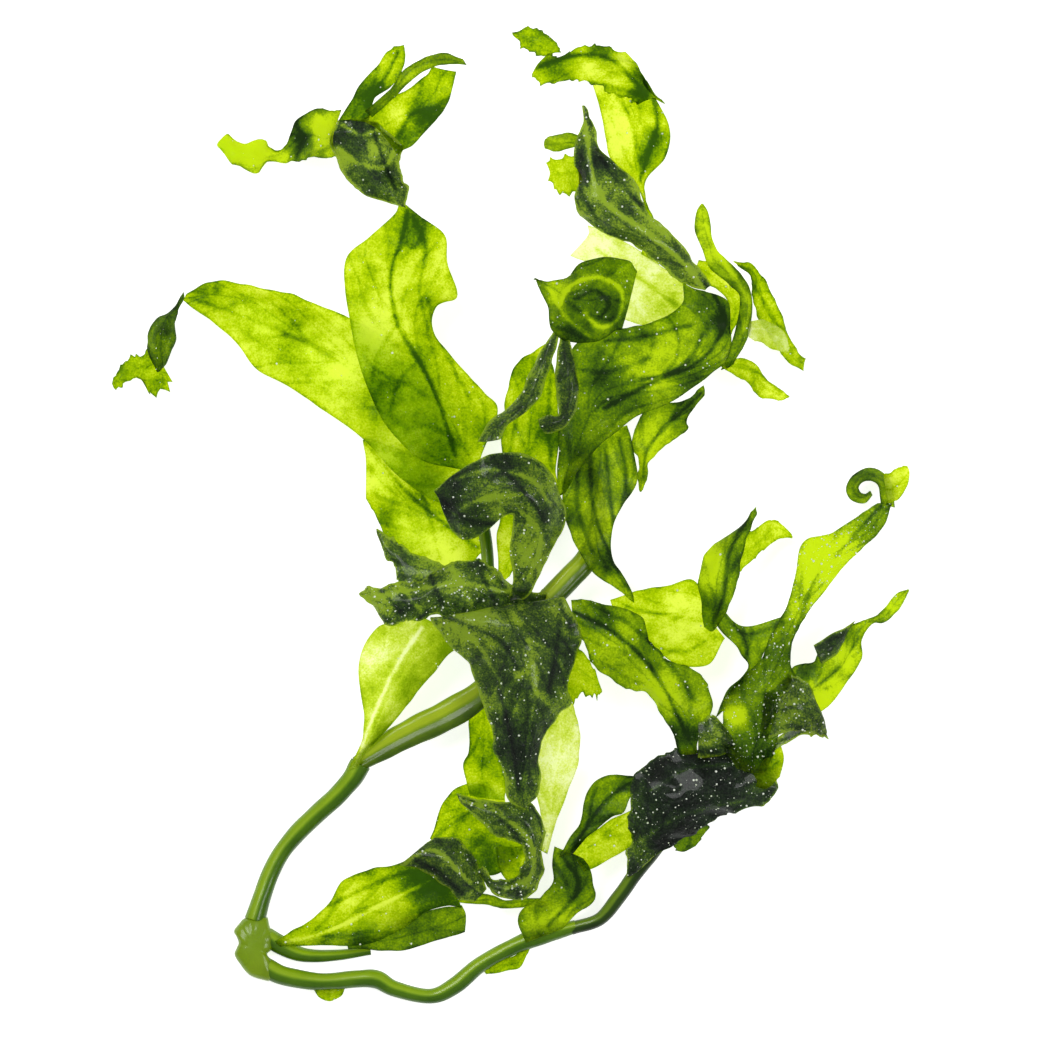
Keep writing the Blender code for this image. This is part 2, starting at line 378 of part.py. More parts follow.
    blade("ribbon_finger", [
        ((68.4, 41.4, 23.2), (69.9, 41.7, 23.6), (71.2, 42.6, 23.2)),
        ((72.6, 51.0, 24.3), (73.8, 50.4, 25.0), (75.3, 49.5, 24.2)),
        ((73.5, 60.0, 25.1), (74.7, 60.0, 25.7), (75.9, 60.0, 24.8)),
        ((70.2, 64.8, 25.8), (71.7, 66.3, 26.3), (73.2, 67.5, 25.3)),
        ((65.0, 70.2, 26.5), (66.3, 71.7, 27.0), (67.5, 73.2, 26.1)),
        ((61.2, 75.9, 27.0), (62.4, 77.1, 27.4), (63.9, 78.0, 26.8)),
        ((58.2, 80.4, 27.3), (60.3, 81.3, 27.5), (62.4, 82.2, 27.1)),
        ((58.8, 85.8, 27.2), (60.0, 85.8, 27.3), (61.5, 85.8, 27.1)),
        ((59.7, 87.9, 27.0), (60.0, 88.2, 27.0), (60.4, 87.9, 27.0))], DARK_GREEN)
    blade("long_finger", [
        ((71.0, 71.0, 25.2), (71.6, 70.2, 25.2), (72.0, 69.2, 25.3)),
        ((75.6, 70.2, 22.4), (75.6, 68.4, 21.0), (75.0, 66.6, 22.0)),
        ((79.8, 64.2, 18.6), (78.6, 63.0, 17.0), (77.4, 61.2, 18.2)),
        ((83.4, 57.0, 14.0), (81.6, 56.1, 12.4), (79.8, 54.6, 13.6)),
        ((86.4, 49.2, 9.0), (84.3, 48.6, 7.6), (82.5, 47.1, 8.8)),
        ((89.1, 44.4, 5.0), (87.9, 42.9, 3.8), (85.8, 42.0, 5.2)),
        ((91.8, 42.9, 0.3), (91.2, 41.1, 0.3), (90.9, 38.7, 0.3))], LIGHT_GREEN)
    blade("low_finger", [
        ((67.6, 41.0, 23.9), (67.4, 40.2, 23.7), (67.2, 39.2, 23.9)),
        ((72.6, 42.2, 21.4), (72.3, 40.2, 20.4), (72.0, 38.1, 21.2)),
        ((77.1, 40.2, 18.1), (76.2, 38.4, 17.1), (75.3, 36.9, 17.9)),
        ((80.4, 35.4, 14.9), (79.5, 34.2, 14.1), (78.6, 32.7, 14.7)),
        ((84.0, 33.3, 12.6), (83.7, 31.8, 12.0), (83.4, 30.9, 12.4)),
        ((86.4, 31.2, 11.0), (86.7, 30.9, 11.0), (86.1, 30.6, 11.0))], LIGHT_GREEN)


def central_blades():
    """The dark blades that curl and hang in front, and the pale ones behind them."""
    blade("strap", [
        ((16.2, 50.6, 30.8), (17.0, 50.0, 30.5), (17.8, 49.2, 30.3)),
        ((10.5, 41.4, 30.6), (12.6, 39.9, 32.4), (14.7, 39.6, 30.8)),
        ((6.6, 32.1, 32.2), (9.0, 30.9, 34.2), (12.0, 31.2, 32.6)),
        ((0.9, 26.1, 33.8), (3.6, 25.5, 35.8), (7.5, 26.4, 34.2)),
        ((-3.9, 22.5, 35.2), (-0.9, 21.0, 37.0), (2.4, 22.5, 35.4)),
        ((-6.6, 17.4, 36.6), (-3.3, 17.4, 37.8), (0.0, 18.0, 36.6))], DARK_GREEN)
    blade("head_curl", [
        ((-18.6, 3.6, 30.6), (-18.0, 1.5, 30.8), (-18.0, -0.6, 30.4)),
        ((-13.5, 7.8, 33.4), (-14.4, 0.0, 32.6), (-15.3, -8.4, 28.8)),
        ((-7.5, 11.4, 35.4), (-9.0, 0.0, 35.6), (-11.1, -11.4, 29.0)),
        ((0.0, 14.4, 35.8), (-1.5, 3.0, 38.6), (-4.5, -9.6, 30.0)),
        ((8.4, 13.5, 33.6), (4.5, 3.0, 39.4), (0.0, -5.4, 33.0)),
        ((15.0, 7.5, 31.4), (9.9, 0.0, 38.2), (3.9, -4.5, 34.2)),
        ((19.2, -2.4, 29.2), (12.0, -5.4, 36.0), (3.6, -9.0, 32.6)),
        ((18.0, -11.1, 28.0), (11.1, -13.5, 32.6), (3.3, -15.0, 30.6)),
        ((12.9, -19.5, 27.0), (8.4, -21.0, 29.8), (3.9, -21.9, 28.6)),
        ((9.0, -27.6, 26.0), (6.0, -27.6, 27.6), (3.6, -27.0, 26.8)),
        ((3.8, -30.0, 23.3), (3.1, -30.0, 23.2), (2.4, -29.2, 23.5))], DARK_GREEN)
    blade("toothed_blade", [
        ((-16.5, -19.8, 21.9), (-19.2, -22.5, 22.5), (-22.5, -24.6, 22.0)),
        ((-22.5, -17.4, 19.4), (-25.5, -20.4, 20.6), (-27.9, -22.5, 19.4)),
        ((-27.0, -15.0, 18.4), (-29.4, -18.3, 19.6), (-31.5, -19.8, 18.6)),
        ((-32.4, -12.0, 17.2), (-33.6, -14.7, 18.2), (-34.2, -16.5, 17.6)),
        ((-36.9, -8.7, 16.0), (-36.9, -9.3, 16.2), (-36.6, -10.5, 16.2))], DARK_GREEN)
    blade("crinkled_blade", [
        ((12.8, -27.6, 18.1), (12.4, -29.2, 18.0), (11.8, -30.8, 18.0)),
        ((6.0, -26.4, 21.0), (6.4, -28.8, 21.4), (6.8, -31.4, 20.6)),
        ((-3.0, -19.8, 22.0), (-2.4, -26.4, 24.2), (-1.5, -32.4, 22.2)),
        ((-11.4, -18.0, 22.8), (-11.4, -25.5, 26.2), (-11.4, -33.3, 23.6)),
        ((-18.6, -21.0, 23.4), (-18.6, -27.0, 26.8), (-19.5, -31.8, 24.0)),
        ((-25.5, -24.6, 23.6), (-24.9, -30.0, 26.4), (-26.4, -35.4, 23.6)),
        ((-31.5, -24.9, 23.2), (-30.6, -30.9, 25.4), (-31.2, -37.8, 23.0)),
        ((-36.6, -25.8, 22.0), (-35.7, -30.3, 23.6), (-34.8, -35.4, 21.8)),
        ((-40.2, -27.0, 20.8), (-39.9, -28.5, 21.4), (-39.0, -30.6, 20.8)),
        ((-42.0, -27.9, 20.0), (-42.0, -28.2, 20.0), (-41.7, -28.8, 20.0))], DARK_GREEN)
    blade("hanging_blade", [
        ((10.4, -35.4, 18.8), (12.8, -32.8, 18.4), (15.6, -30.4, 18.5)),
        ((-4.0, -34.8, 25.6), (7.0, -32.4, 25.2), (18.0, -29.6, 22.6)),
        ((-19.2, -34.8, 27.2), (1.5, -31.8, 29.4), (19.5, -30.0, 25.2)),
        ((-19.8, -37.2, 26.6), (3.0, -36.6, 33.0), (24.0, -39.0, 24.4)),
        ((-12.9, -45.0, 25.4), (6.0, -44.4, 33.6), (18.6, -45.0, 25.2)),
        ((-8.4, -50.4, 24.6), (7.5, -51.6, 33.2), (19.8, -54.6, 25.0)),
        ((-6.3, -57.0, 24.0), (8.1, -58.8, 32.0), (21.3, -60.6, 24.8)),
        ((-3.6, -65.4, 23.6), (8.4, -66.0, 30.0), (16.8, -65.4, 24.8)),
        ((-1.2, -73.5, 23.0), (7.5, -73.5, 27.8), (12.3, -72.6, 24.0)),
        ((1.5, -81.6, 22.2), (7.2, -81.6, 25.4), (10.5, -81.0, 22.8)),
        ((4.2, -88.5, 21.2), (6.9, -88.5, 22.8), (9.0, -87.6, 21.4)),
        ((6.6, -91.8, 20.2), (7.2, -92.1, 20.6), (7.8, -91.5, 20.2))], DARK_GREEN)
    blade("back_strip", [
        ((-8.4, -57.6, 10.6), (-5.4, -58.8, 10.5), (-2.4, -60.6, 10.7)),
        ((-9.0, -66.0, 8.8), (-4.8, -66.6, 7.6), (-0.6, -66.6, 8.8)),
        ((-9.0, -75.0, 8.8), (-4.8, -75.0, 7.4), (0.0, -75.0, 8.8)),
        ((-10.8, -80.4, 8.4), (-5.4, -82.5, 7.0), (1.8, -83.4, 8.2)),
        ((-9.0, -88.5, 8.6), (-4.5, -89.4, 7.6), (1.5, -90.0, 8.6))], LIGHT_GREEN)
    blade("pale_blade", [
        ((12.4, -103.6, 14.4), (13.6, -104.2, 14.3), (14.6, -104.6, 14.4)),
        ((12.3, -94.5, 12.2), (15.0, -94.8, 11.4), (17.4, -94.5, 12.0)),
        ((10.8, -87.0, 11.2), (15.6, -87.0, 9.2), (20.4, -87.0, 10.8)),
        ((9.9, -78.0, 12.2), (16.8, -78.6, 9.8), (23.4, -78.6, 11.8)),
        ((11.4, -69.0, 13.0), (18.0, -69.0, 10.6), (24.0, -70.5, 12.8)),
        ((12.0, -60.0, 13.6), (17.4, -60.0, 12.0), (21.9, -60.9, 13.8))], LIGHT_GREEN)


def lower_blades():
    """The leaf on the middle stipe, and the lobe, cap and spiral at its end."""
    blade("middle_leaf", [
        ((-66.2, -131.6, 5.5), (-65.4, -132.8, 5.4), (-64.4, -133.8, 5.4)),
        ((-58.5, -126.9, 8.2), (-57.0, -130.5, 6.8), (-54.6, -133.5, 7.6)),
        ((-51.0, -120.9, 10.0), (-48.6, -127.5, 7.2), (-46.5, -133.5, 8.0)),
        ((-47.1, -114.0, 11.6), (-42.6, -123.0, 7.6), (-38.4, -132.6, 8.4)),
        ((-39.6, -110.7, 12.2), (-34.5, -119.4, 8.2), (-30.0, -129.0, 9.0)),
        ((-30.6, -108.6, 12.0), (-26.4, -115.5, 8.6), (-22.5, -123.6, 9.2)),
        ((-22.5, -104.4, 11.2), (-19.5, -111.6, 8.8), (-15.9, -121.5, 9.0)),
        ((-17.4, -107.4, 10.4), (-14.4, -114.6, 8.8), (-11.4, -122.4, 9.0))], LEAF_GREEN)
    blade("under_leaf", [
        ((-44.4, -131.4, 4.6), (-44.4, -133.2, 3.9), (-44.1, -134.8, 3.4)),
        ((-34.5, -129.6, 5.6), (-34.5, -132.0, 4.2), (-34.2, -135.0, 3.6)),
        ((-27.0, -124.5, 5.8), (-26.4, -129.0, 4.0), (-26.1, -134.4, 3.2)),
        ((-18.0, -122.4, 5.8), (-17.4, -127.5, 4.0), (-16.8, -131.4, 3.2)),
        ((-11.4, -121.5, 5.8), (-10.2, -124.5, 4.6), (-10.5, -129.6, 4.0))], DARK_GREEN)
    blade("round_cap", [
        ((-4.5, -115.2, 9.6), (-6.6, -117.6, 10.4), (-9.0, -120.0, 9.8)),
        ((-7.5, -108.0, 10.6), (-10.2, -114.0, 13.4), (-12.6, -119.4, 11.2)),
        ((-11.4, -102.9, 11.6), (-13.5, -109.5, 15.4), (-16.5, -115.5, 12.2)),
        ((-16.5, -101.1, 11.8), (-18.9, -107.1, 15.2), (-22.5, -111.6, 12.2)),
        ((-21.6, -102.6, 12.0), (-25.5, -105.6, 13.8), (-30.0, -109.2, 13.1))], DARK_GREEN)
    blade("bright_lobe", [
        ((0.0, -87.6, 6.8), (0.9, -93.0, 7.2), (1.8, -99.0, 8.4)),
        ((-7.5, -84.6, 5.9), (-6.0, -92.4, 6.0), (-4.2, -99.0, 7.8)),
        ((-13.5, -86.7, 7.2), (-12.0, -94.5, 6.2), (-10.8, -102.0, 7.8)),
        ((-18.0, -92.4, 7.8), (-16.8, -97.2, 6.4), (-15.6, -101.4, 7.4)),
        ((-21.0, -101.4, 7.2), (-20.7, -101.7, 7.0), (-20.1, -102.0, 7.2))], LIGHT_GREEN)
    blade("spiral_curl", [
        ((-5.4, -113.4, 11.0), (-5.6, -111.9, 11.4), (-4.4, -110.4, 11.2)),
        ((-2.4, -117.6, 13.6), (-2.4, -115.5, 14.8), (-2.4, -113.1, 13.4)),
        ((4.5, -119.4, 14.0), (2.7, -116.7, 15.8), (1.2, -114.0, 14.0)),
        ((10.5, -116.4, 14.4), (7.2, -114.6, 16.8), (4.2, -112.8, 14.6)),
        ((12.6, -110.4, 14.8), (9.3, -110.4, 17.4), (6.6, -109.8, 15.2)),
        ((12.9, -103.5, 15.4), (10.2, -105.0, 18.2), (7.5, -105.6, 16.0)),
        ((12.6, -96.6, 16.2), (9.6, -99.6, 19.4), (6.6, -102.6, 17.0)),
        ((9.0, -90.6, 17.4), (6.6, -96.0, 20.4), (2.4, -101.4, 18.0)),
        ((1.5, -90.0, 18.8), (0.0, -94.5, 21.0), (-2.4, -99.6, 19.0)),
        ((-6.0, -90.0, 18.6), (-6.6, -92.4, 20.2), (-7.5, -94.5, 18.8)),
        ((-12.9, -87.9, 17.8), (-12.3, -89.4, 18.2), (-11.4, -90.9, 17.8))], DARK_GREEN)
    blade("bottom_strip", [
        ((-10.6, -118.6, 6.4), (-11.0, -119.8, 6.3), (-11.2, -120.7, 6.4)),
        ((-4.5, -117.9, 6.0), (-4.5, -119.4, 5.0), (-4.5, -121.2, 6.0)),
        ((1.5, -120.0, 5.6), (1.5, -121.2, 4.8), (1.5, -122.4, 5.6)),
        ((7.5, -119.4, 5.2), (8.1, -120.6, 4.6), (9.0, -121.5, 5.2)),
        ((13.5, -119.4, 4.8), (14.4, -120.6, 4.4), (14.1, -122.1, 4.8))], DARK_GREEN)


def lower_right_blades():
    """The twisted leaf and its neighbours on the lower stipe, and the dark mass they lead to."""
    blade("twisted_leaf", [
        ((14.0, -128.6, 5.4), (17.0, -127.9, 5.3), (20.0, -127.1, 5.2)),
        ((12.0, -124.0, 6.6), (17.4, -124.6, 5.6), (23.4, -123.6, 6.6)),
        ((12.6, -119.4, 7.8), (19.5, -121.2, 6.0), (27.0, -121.5, 7.4)),
        ((15.0, -117.6, 9.4), (21.6, -119.4, 7.2), (28.5, -119.1, 8.6)),
        ((18.6, -113.4, 10.6), (23.4, -114.6, 9.0), (28.2, -115.2, 10.0)),
        ((17.1, -109.5, 11.6), (22.5, -109.8, 10.4), (27.0, -110.4, 11.4)),
        ((18.0, -106.0, 12.2), (21.6, -105.9, 11.8), (24.9, -107.4, 12.2))], LEAF_GREEN)
    blade("lower_right_leaf", [
        ((18.4, -105.6, 12.9), (20.4, -105.3, 12.8), (22.4, -105.5, 12.8)),
        ((24.9, -96.0, 11.6), (25.5, -98.4, 10.4), (27.0, -99.9, 11.2)),
        ((26.1, -87.0, 12.8), (29.4, -90.9, 10.6), (32.4, -95.4, 12.2)),
        ((31.5, -82.2, 13.4), (34.5, -87.0, 11.0), (36.6, -93.6, 12.4)),
        ((37.5, -81.6, 13.2), (39.0, -84.6, 11.4), (39.0, -89.1, 11.6)),
        ((43.5, -84.3, 11.0), (43.8, -85.2, 10.6), (42.3, -86.4, 10.6))], LEAF_GREEN)
    blade("dark_mass", [
        ((37.5, -111.6, 10.2), (39.6, -111.6, 10.2), (42.0, -110.4, 10.4)),
        ((39.0, -103.5, 11.6), (43.5, -105.6, 13.2), (48.0, -105.0, 12.9)),
        ((39.6, -94.5, 13.8), (48.0, -99.0, 17.4), (57.0, -100.5, 13.6)),
        ((42.0, -85.5, 15.0), (52.5, -91.5, 20.0), (63.6, -96.0, 14.8)),
        ((49.5, -81.6, 16.0), (61.5, -87.0, 21.0), (71.1, -92.4, 15.4)),
        ((60.0, -78.0, 16.0), (69.6, -83.4, 20.0), (78.0, -88.5, 15.2)),
        ((70.5, -75.3, 15.4), (76.8, -79.5, 17.4), (82.5, -82.5, 14.4))], DARK_GREEN)
    blade("glossy_fan", [
        ((60.4, -66.0, 20.0), (60.6, -71.4, 20.6), (60.6, -77.1, 17.3)),
        ((63.6, -64.2, 20.2), (64.2, -70.5, 21.4), (64.8, -76.8, 17.6)),
        ((68.4, -69.6, 19.6), (68.7, -72.6, 20.4), (69.3, -75.5, 17.0)),
        ((71.4, -74.1, 17.6), (71.4, -74.7, 17.2), (71.1, -75.3, 16.8))], DARK_GREEN)
    blade("ridged_blade", [
        ((58.5, -73.4, 16.4), (58.8, -75.6, 16.6), (57.4, -78.0, 16.4)),
        ((59.1, -65.4, 18.6), (56.4, -70.5, 19.6), (53.4, -75.0, 18.2)),
        ((61.5, -59.4, 20.0), (55.5, -65.4, 22.2), (50.1, -70.5, 19.0)),
        ((57.6, -51.9, 21.0), (51.9, -60.0, 24.2), (46.5, -64.8, 20.0)),
        ((51.6, -48.6, 21.8), (46.5, -55.5, 25.2), (42.0, -59.1, 21.0)),
        ((45.0, -43.5, 22.6), (41.1, -49.5, 26.0), (35.4, -56.1, 21.8)),
        ((41.4, -36.6, 23.0), (35.4, -43.5, 26.2), (29.1, -51.0, 22.4)),
        ((32.4, -33.3, 23.0), (28.5, -38.4, 25.2), (24.9, -42.4, 22.8)),
        ((22.5, -32.1, 22.4), (21.6, -33.9, 22.8), (21.6, -36.6, 22.4))], DARK_GREEN)
    blade("pale_right_blade", [
        ((64.4, -33.0, 12.6), (63.4, -36.6, 12.0), (64.6, -42.0, 12.4)),
        ((58.2, -24.0, 12.6), (59.4, -33.0, 10.4), (61.8, -46.5, 12.4)),
        ((51.0, -25.5, 12.4), (52.2, -33.6, 10.0), (54.0, -47.1, 12.2)),
        ((45.0, -27.6, 12.2), (45.6, -33.6, 10.4), (46.5, -42.0, 12.0)),
        ((39.6, -31.2, 11.8), (40.5, -33.0, 11.4), (41.4, -36.0, 11.8))], LIGHT_GREEN)
    blade("twisting_tip", [
        ((60.9, -36.6, 13.6), (63.6, -38.1, 13.5), (66.0, -36.0, 13.3)),
        ((60.0, -30.0, 14.4), (64.8, -31.2, 17.0), (69.0, -29.4, 14.8)),
        ((59.4, -23.4, 15.0), (64.8, -23.4, 18.8), (71.4, -22.8, 15.0)),
        ((60.9, -17.1, 15.2), (66.6, -16.8, 18.8), (72.3, -15.0, 14.8)),
        ((64.2, -13.2, 15.0), (69.6, -11.4, 17.2), (73.8, -9.6, 14.4)),
        ((70.5, -9.0, 14.6), (73.5, -7.5, 15.8), (75.6, -5.1, 14.2)),
        ((75.0, -3.6, 14.0), (75.9, -3.0, 14.2), (76.8, -1.8, 14.0))], DARK_GREEN)
    blade("bright_tip", [
        ((72.6, -12.3, 13.6), (72.8, -16.8, 13.6), (72.2, -21.3, 13.8)),
        ((77.1, -8.4, 11.6), (77.4, -12.6, 10.6), (77.1, -16.8, 11.4)),
        ((82.2, -6.0, 8.6), (82.2, -8.4, 7.6), (81.6, -12.0, 8.4)),
        ((87.3, -10.2, 6.6), (87.6, -10.8, 6.4), (87.6, -11.4, 6.6))], LIGHT_GREEN)
    blade("web", [
        ((64.8, -64.5, 18.2), (65.4, -64.0, 18.0), (66.3, -63.4, 18.2)),
        ((69.9, -57.0, 17.8), (71.1, -57.6, 17.0), (72.6, -57.0, 17.8)),
        ((72.0, -50.4, 17.0), (73.8, -51.0, 15.8), (76.6, -50.4, 17.3)),
        ((69.9, -45.3, 15.4), (74.1, -46.2, 14.0), (79.2, -45.3, 14.8)),
        ((66.6, -41.4, 13.4), (74.1, -42.0, 12.0), (81.6, -40.8, 13.0)),
        ((64.2, -37.5, 12.4), (73.5, -36.6, 11.2), (84.0, -35.1, 12.4))], DARK_GREEN)


def far_right_blades():
    """The branch that climbs to the curled tip, and the lobed blade that reaches the far right."""
    blade("right_branch", [
        ((70.0, -79.0, 18.9), (75.4, -80.2, 19.3), (80.6, -80.4, 17.1)),
        ((72.0, -73.0, 18.6), (76.8, -73.8, 20.4), (82.0, -74.2, 18.2)),
        ((72.6, -64.5, 19.2), (78.0, -65.4, 21.8), (84.0, -64.5, 19.0)),
        ((74.4, -55.5, 19.2), (79.5, -57.6, 21.4), (84.9, -57.0, 18.6)),
        ((78.6, -46.5, 18.3), (83.4, -48.0, 19.9), (88.5, -46.5, 17.5)),
        ((83.4, -36.6, 16.7), (87.0, -37.5, 17.7), (91.2, -36.6, 16.1)),
        ((87.6, -26.4, 14.5), (91.5, -28.5, 15.3), (96.0, -28.5, 14.1)),
        ((90.9, -16.8, 12.1), (96.6, -20.4, 13.3), (102.9, -19.8, 11.9)),
        ((99.0, -12.0, 10.0), (103.5, -14.4, 11.2), (108.6, -14.7, 10.0)),
        ((108.6, -6.0, 8.2), (111.6, -8.1, 9.0), (115.2, -7.8, 8.2)),
        ((113.4, -0.9, 7.4), (115.5, -0.9, 7.8), (117.6, -0.9, 7.4))], DARK_GREEN)
    blade("rolled_tip", [
        ((117.3, -0.2, 5.6), (115.9, -0.1, 7.9), (114.6, 0.0, 10.0)),
        ((117.7, 3.6, 5.4), (116.5, 3.6, 8.0), (115.3, 3.6, 10.5)),
        ((115.5, 8.0, 5.6), (114.6, 7.3, 7.9), (113.7, 6.6, 10.2)),
        ((110.5, 9.8, 5.8), (110.4, 8.7, 7.9), (110.3, 7.6, 9.9)),
        ((105.2, 8.1, 6.0), (106.0, 7.4, 7.8), (106.8, 6.7, 9.6)),
        ((103.2, 3.6, 6.2), (104.2, 3.6, 7.8), (105.2, 3.6, 9.3)),
        ((104.9, -0.7, 6.4), (105.6, -0.1, 7.7), (106.3, 0.5, 9.0)),
        ((109.1, -1.1, 6.6), (109.2, -0.4, 7.7), (109.3, 0.3, 8.7)),
        ((111.9, 1.7, 6.8), (111.4, 2.2, 7.6), (110.9, 2.7, 8.4))], DARK_GREEN)
    blade("lobed_blade", [
        ((85.0, -56.4, 17.5), (85.6, -59.0, 17.5), (85.6, -61.6, 17.6)),
        ((87.0, -57.0, 14.7), (88.5, -59.1, 14.2), (90.0, -61.2, 14.5)),
        ((92.4, -51.6, 13.8), (95.1, -55.5, 12.3), (97.8, -59.4, 13.1)),
        ((97.8, -48.0, 11.9), (100.8, -51.6, 10.1), (103.8, -54.6, 10.9)),
        ((102.6, -42.6, 9.6), (105.3, -45.6, 7.8), (108.3, -48.0, 8.6)),
        ((105.0, -37.8, 7.7), (106.8, -39.9, 6.3), (108.6, -42.0, 7.0)),
        ((108.6, -36.3, 5.8), (110.4, -36.6, 5.1), (111.6, -37.2, 5.4)),
        ((114.0, -33.9, 3.6), (115.2, -34.8, 3.2), (116.1, -36.0, 3.4)),
        ((119.1, -28.2, 1.4), (119.7, -30.0, 1.0), (120.9, -30.6, 1.2)),
        ((122.4, -26.7, 0.3), (122.7, -27.0, 0.3), (122.4, -27.6, 0.3))], LEAF_GREEN)
    blade("spiky_leaf", [
        ((83.3, -71.6, 18.3), (83.1, -73.2, 18.1), (82.8, -74.8, 17.9)),
        ((90.0, -66.6, 16.2), (90.4, -68.6, 15.8), (89.4, -70.4, 16.0)),
        ((93.6, -64.4, 14.6), (94.5, -67.0, 14.2), (94.2, -70.2, 14.4)),
        ((97.0, -68.6, 12.6), (97.6, -70.0, 12.5), (98.2, -71.4, 12.6))], DARK_GREEN)


clear_scene()
base_and_stipes()
left_blades()
left_crown()
right_crown()
upper_right_blades()
central_blades()
lower_blades()
lower_right_blades()
far_right_blades()
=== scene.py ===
import math

import bmesh
import bpy
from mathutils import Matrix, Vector, kdtree, noise


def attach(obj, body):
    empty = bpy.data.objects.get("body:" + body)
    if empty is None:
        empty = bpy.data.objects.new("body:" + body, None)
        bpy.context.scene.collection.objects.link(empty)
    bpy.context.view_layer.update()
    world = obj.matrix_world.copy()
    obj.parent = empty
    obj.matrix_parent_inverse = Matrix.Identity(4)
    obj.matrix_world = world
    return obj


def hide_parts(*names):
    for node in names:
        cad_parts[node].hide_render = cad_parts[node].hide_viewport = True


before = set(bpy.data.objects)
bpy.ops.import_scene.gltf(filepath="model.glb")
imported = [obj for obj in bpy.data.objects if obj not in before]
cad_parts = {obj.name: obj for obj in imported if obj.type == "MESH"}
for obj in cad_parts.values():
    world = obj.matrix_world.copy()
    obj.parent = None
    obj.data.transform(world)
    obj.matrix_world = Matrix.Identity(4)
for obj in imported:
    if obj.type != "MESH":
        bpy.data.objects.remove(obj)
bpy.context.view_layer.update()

# The cut base and the stipes
# The frond was cut just below the fork of its three stipes. Stipes are solid, fleshy cords of
# wet algal tissue, smooth outside, a little flattened, and paler and rough where they are cut.
MM = 0.001
FRAME_ORIGIN = Vector((3.3, -5.0, 0.0))


def linear(hex_colour):
    """The linear colour of an sRGB hex value such as "8CC800"."""
    channels = [int(hex_colour[i:i + 2], 16) / 255 for i in (0, 2, 4)]
    return tuple(c / 12.92 if c <= 0.04045 else ((c + 0.055) / 1.055) ** 2.4 for c in channels) + (1.0,)


def node(tree, kind, inputs=None, stops=(), **settings):
    """Add a node. Inputs are values or other nodes' outputs, and stops are a ramp's (place, colour)."""
    made = tree.nodes.new(kind)
    for name, value in settings.items():
        setattr(made, name, value)
    for socket, value in (inputs or {}).items():
        if isinstance(value, bpy.types.NodeSocket):
            tree.links.new(value, made.inputs[socket])
        else:
            made.inputs[socket].default_value = value
    for i, (place, colour) in enumerate(stops):
        if i > 1:
            made.color_ramp.elements.new(place)
        made.color_ramp.elements[i].position = place
        made.color_ramp.elements[i].color = colour
    return made


def stipe_flesh(name, dark, middle, light):
    """Living stipe tissue: a smooth wet skin with a soft sheen, a painted highlight along its top and painted
    shade on its sides, and light in its flesh.
    """
    material = bpy.data.materials.new(name)
    material.use_nodes = True
    tree = material.node_tree
    tree.nodes.clear()
    place = node(tree, "ShaderNodeTexCoord").outputs
    # Streaks about 3 mm apart run along the stipe, over pores of about 0.5 mm. Round the stipe the colour
    # carries a painted highlight along the top and painted shade on the sides.
    streaks = node(tree, "ShaderNodeTexNoise", {"Vector": place["Object"], "Scale": 110.0, "Detail": 3.0})
    pores = node(tree, "ShaderNodeTexNoise", {"Vector": place["Object"], "Scale": 1400.0, "Detail": 1.0})
    round_it = node(tree, "ShaderNodeSeparateXYZ", {0: place["UV"]}).outputs
    painted_highlight_and_shade = node(tree, "ShaderNodeValToRGB", {0: round_it["Y"]},
                 [(0.10, (0, 0, 0, 1)), (0.21, (0.15, 0.15, 0.15, 1)), (0.27, (1, 1, 1, 1)),
                  (0.36, (0.75, 0.75, 0.75, 1)), (0.55, (0.1, 0.1, 0.1, 1))])
    tone = node(tree, "ShaderNodeMath", {0: streaks.outputs["Fac"], 1: 0.6, 2: painted_highlight_and_shade.outputs["Color"]},
                operation="MULTIPLY_ADD")
    tone = node(tree, "ShaderNodeMath", {0: tone.outputs[0], 1: 0.72}, operation="MULTIPLY")
    body = node(tree, "ShaderNodeValToRGB", {0: tone.outputs[0]},
                [(0.15, linear(dark)), (0.5, linear(middle)), (0.9, linear(light))]).outputs["Color"]
    bump = node(tree, "ShaderNodeBump",
                {"Strength": 0.25, "Distance": 0.0002, "Height": pores.outputs["Fac"]})
    skin = node(tree, "ShaderNodeBsdfPrincipled", {
        "Base Color": body, "Roughness": 0.3, "IOR": 1.38, "Coat Weight": 0.4, "Coat Roughness": 0.12,
        "Normal": bump.outputs["Normal"]})
    inner = node(tree, "ShaderNodeGamma", {"Color": body, "Gamma": 0.5})
    glow = node(tree, "ShaderNodeBsdfTranslucent", {"Color": inner.outputs[0]})
    both = node(tree, "ShaderNodeMixShader", {0: 0.35, 1: skin.outputs[0], 2: glow.outputs[0]})
    node(tree, "ShaderNodeOutputMaterial", {"Surface": both.outputs[0]})
    return material


fresh_stipe = stipe_flesh("Fresh green stipe flesh", "345E00", "6C9A04", "A8CC18")
bright_stipe = stipe_flesh("Yellow-green stipe flesh", "2C4E04", "86A806", "C4DC24")
dark_stipe = stipe_flesh("Dark green stipe flesh", "16280A", "3A5C0E", "7A9C18")


def smooth_line(points, steps):
    """Points of a Catmull-Rom curve that passes through all the given points."""
    points = [Vector(point) for point in points]
    before = [2 * points[0] - points[1]] + points[:-1]
    after = points[1:] + [2 * points[-1] - points[-2]]
    line = []
    for i in range(len(points) - 1):
        p0, p1, p2, p3 = before[i], points[i], points[i + 1], after[i + 1]
        for step in range(steps):
            t = step / steps
            line.append(0.5 * (2 * p1 + (p2 - p0) * t + (2 * p0 - 5 * p1 + 4 * p2 - p3) * t ** 2
                               + (3 * p1 - p0 - 3 * p2 + p3) * t ** 3))
    line.append(points[-1])
    return line


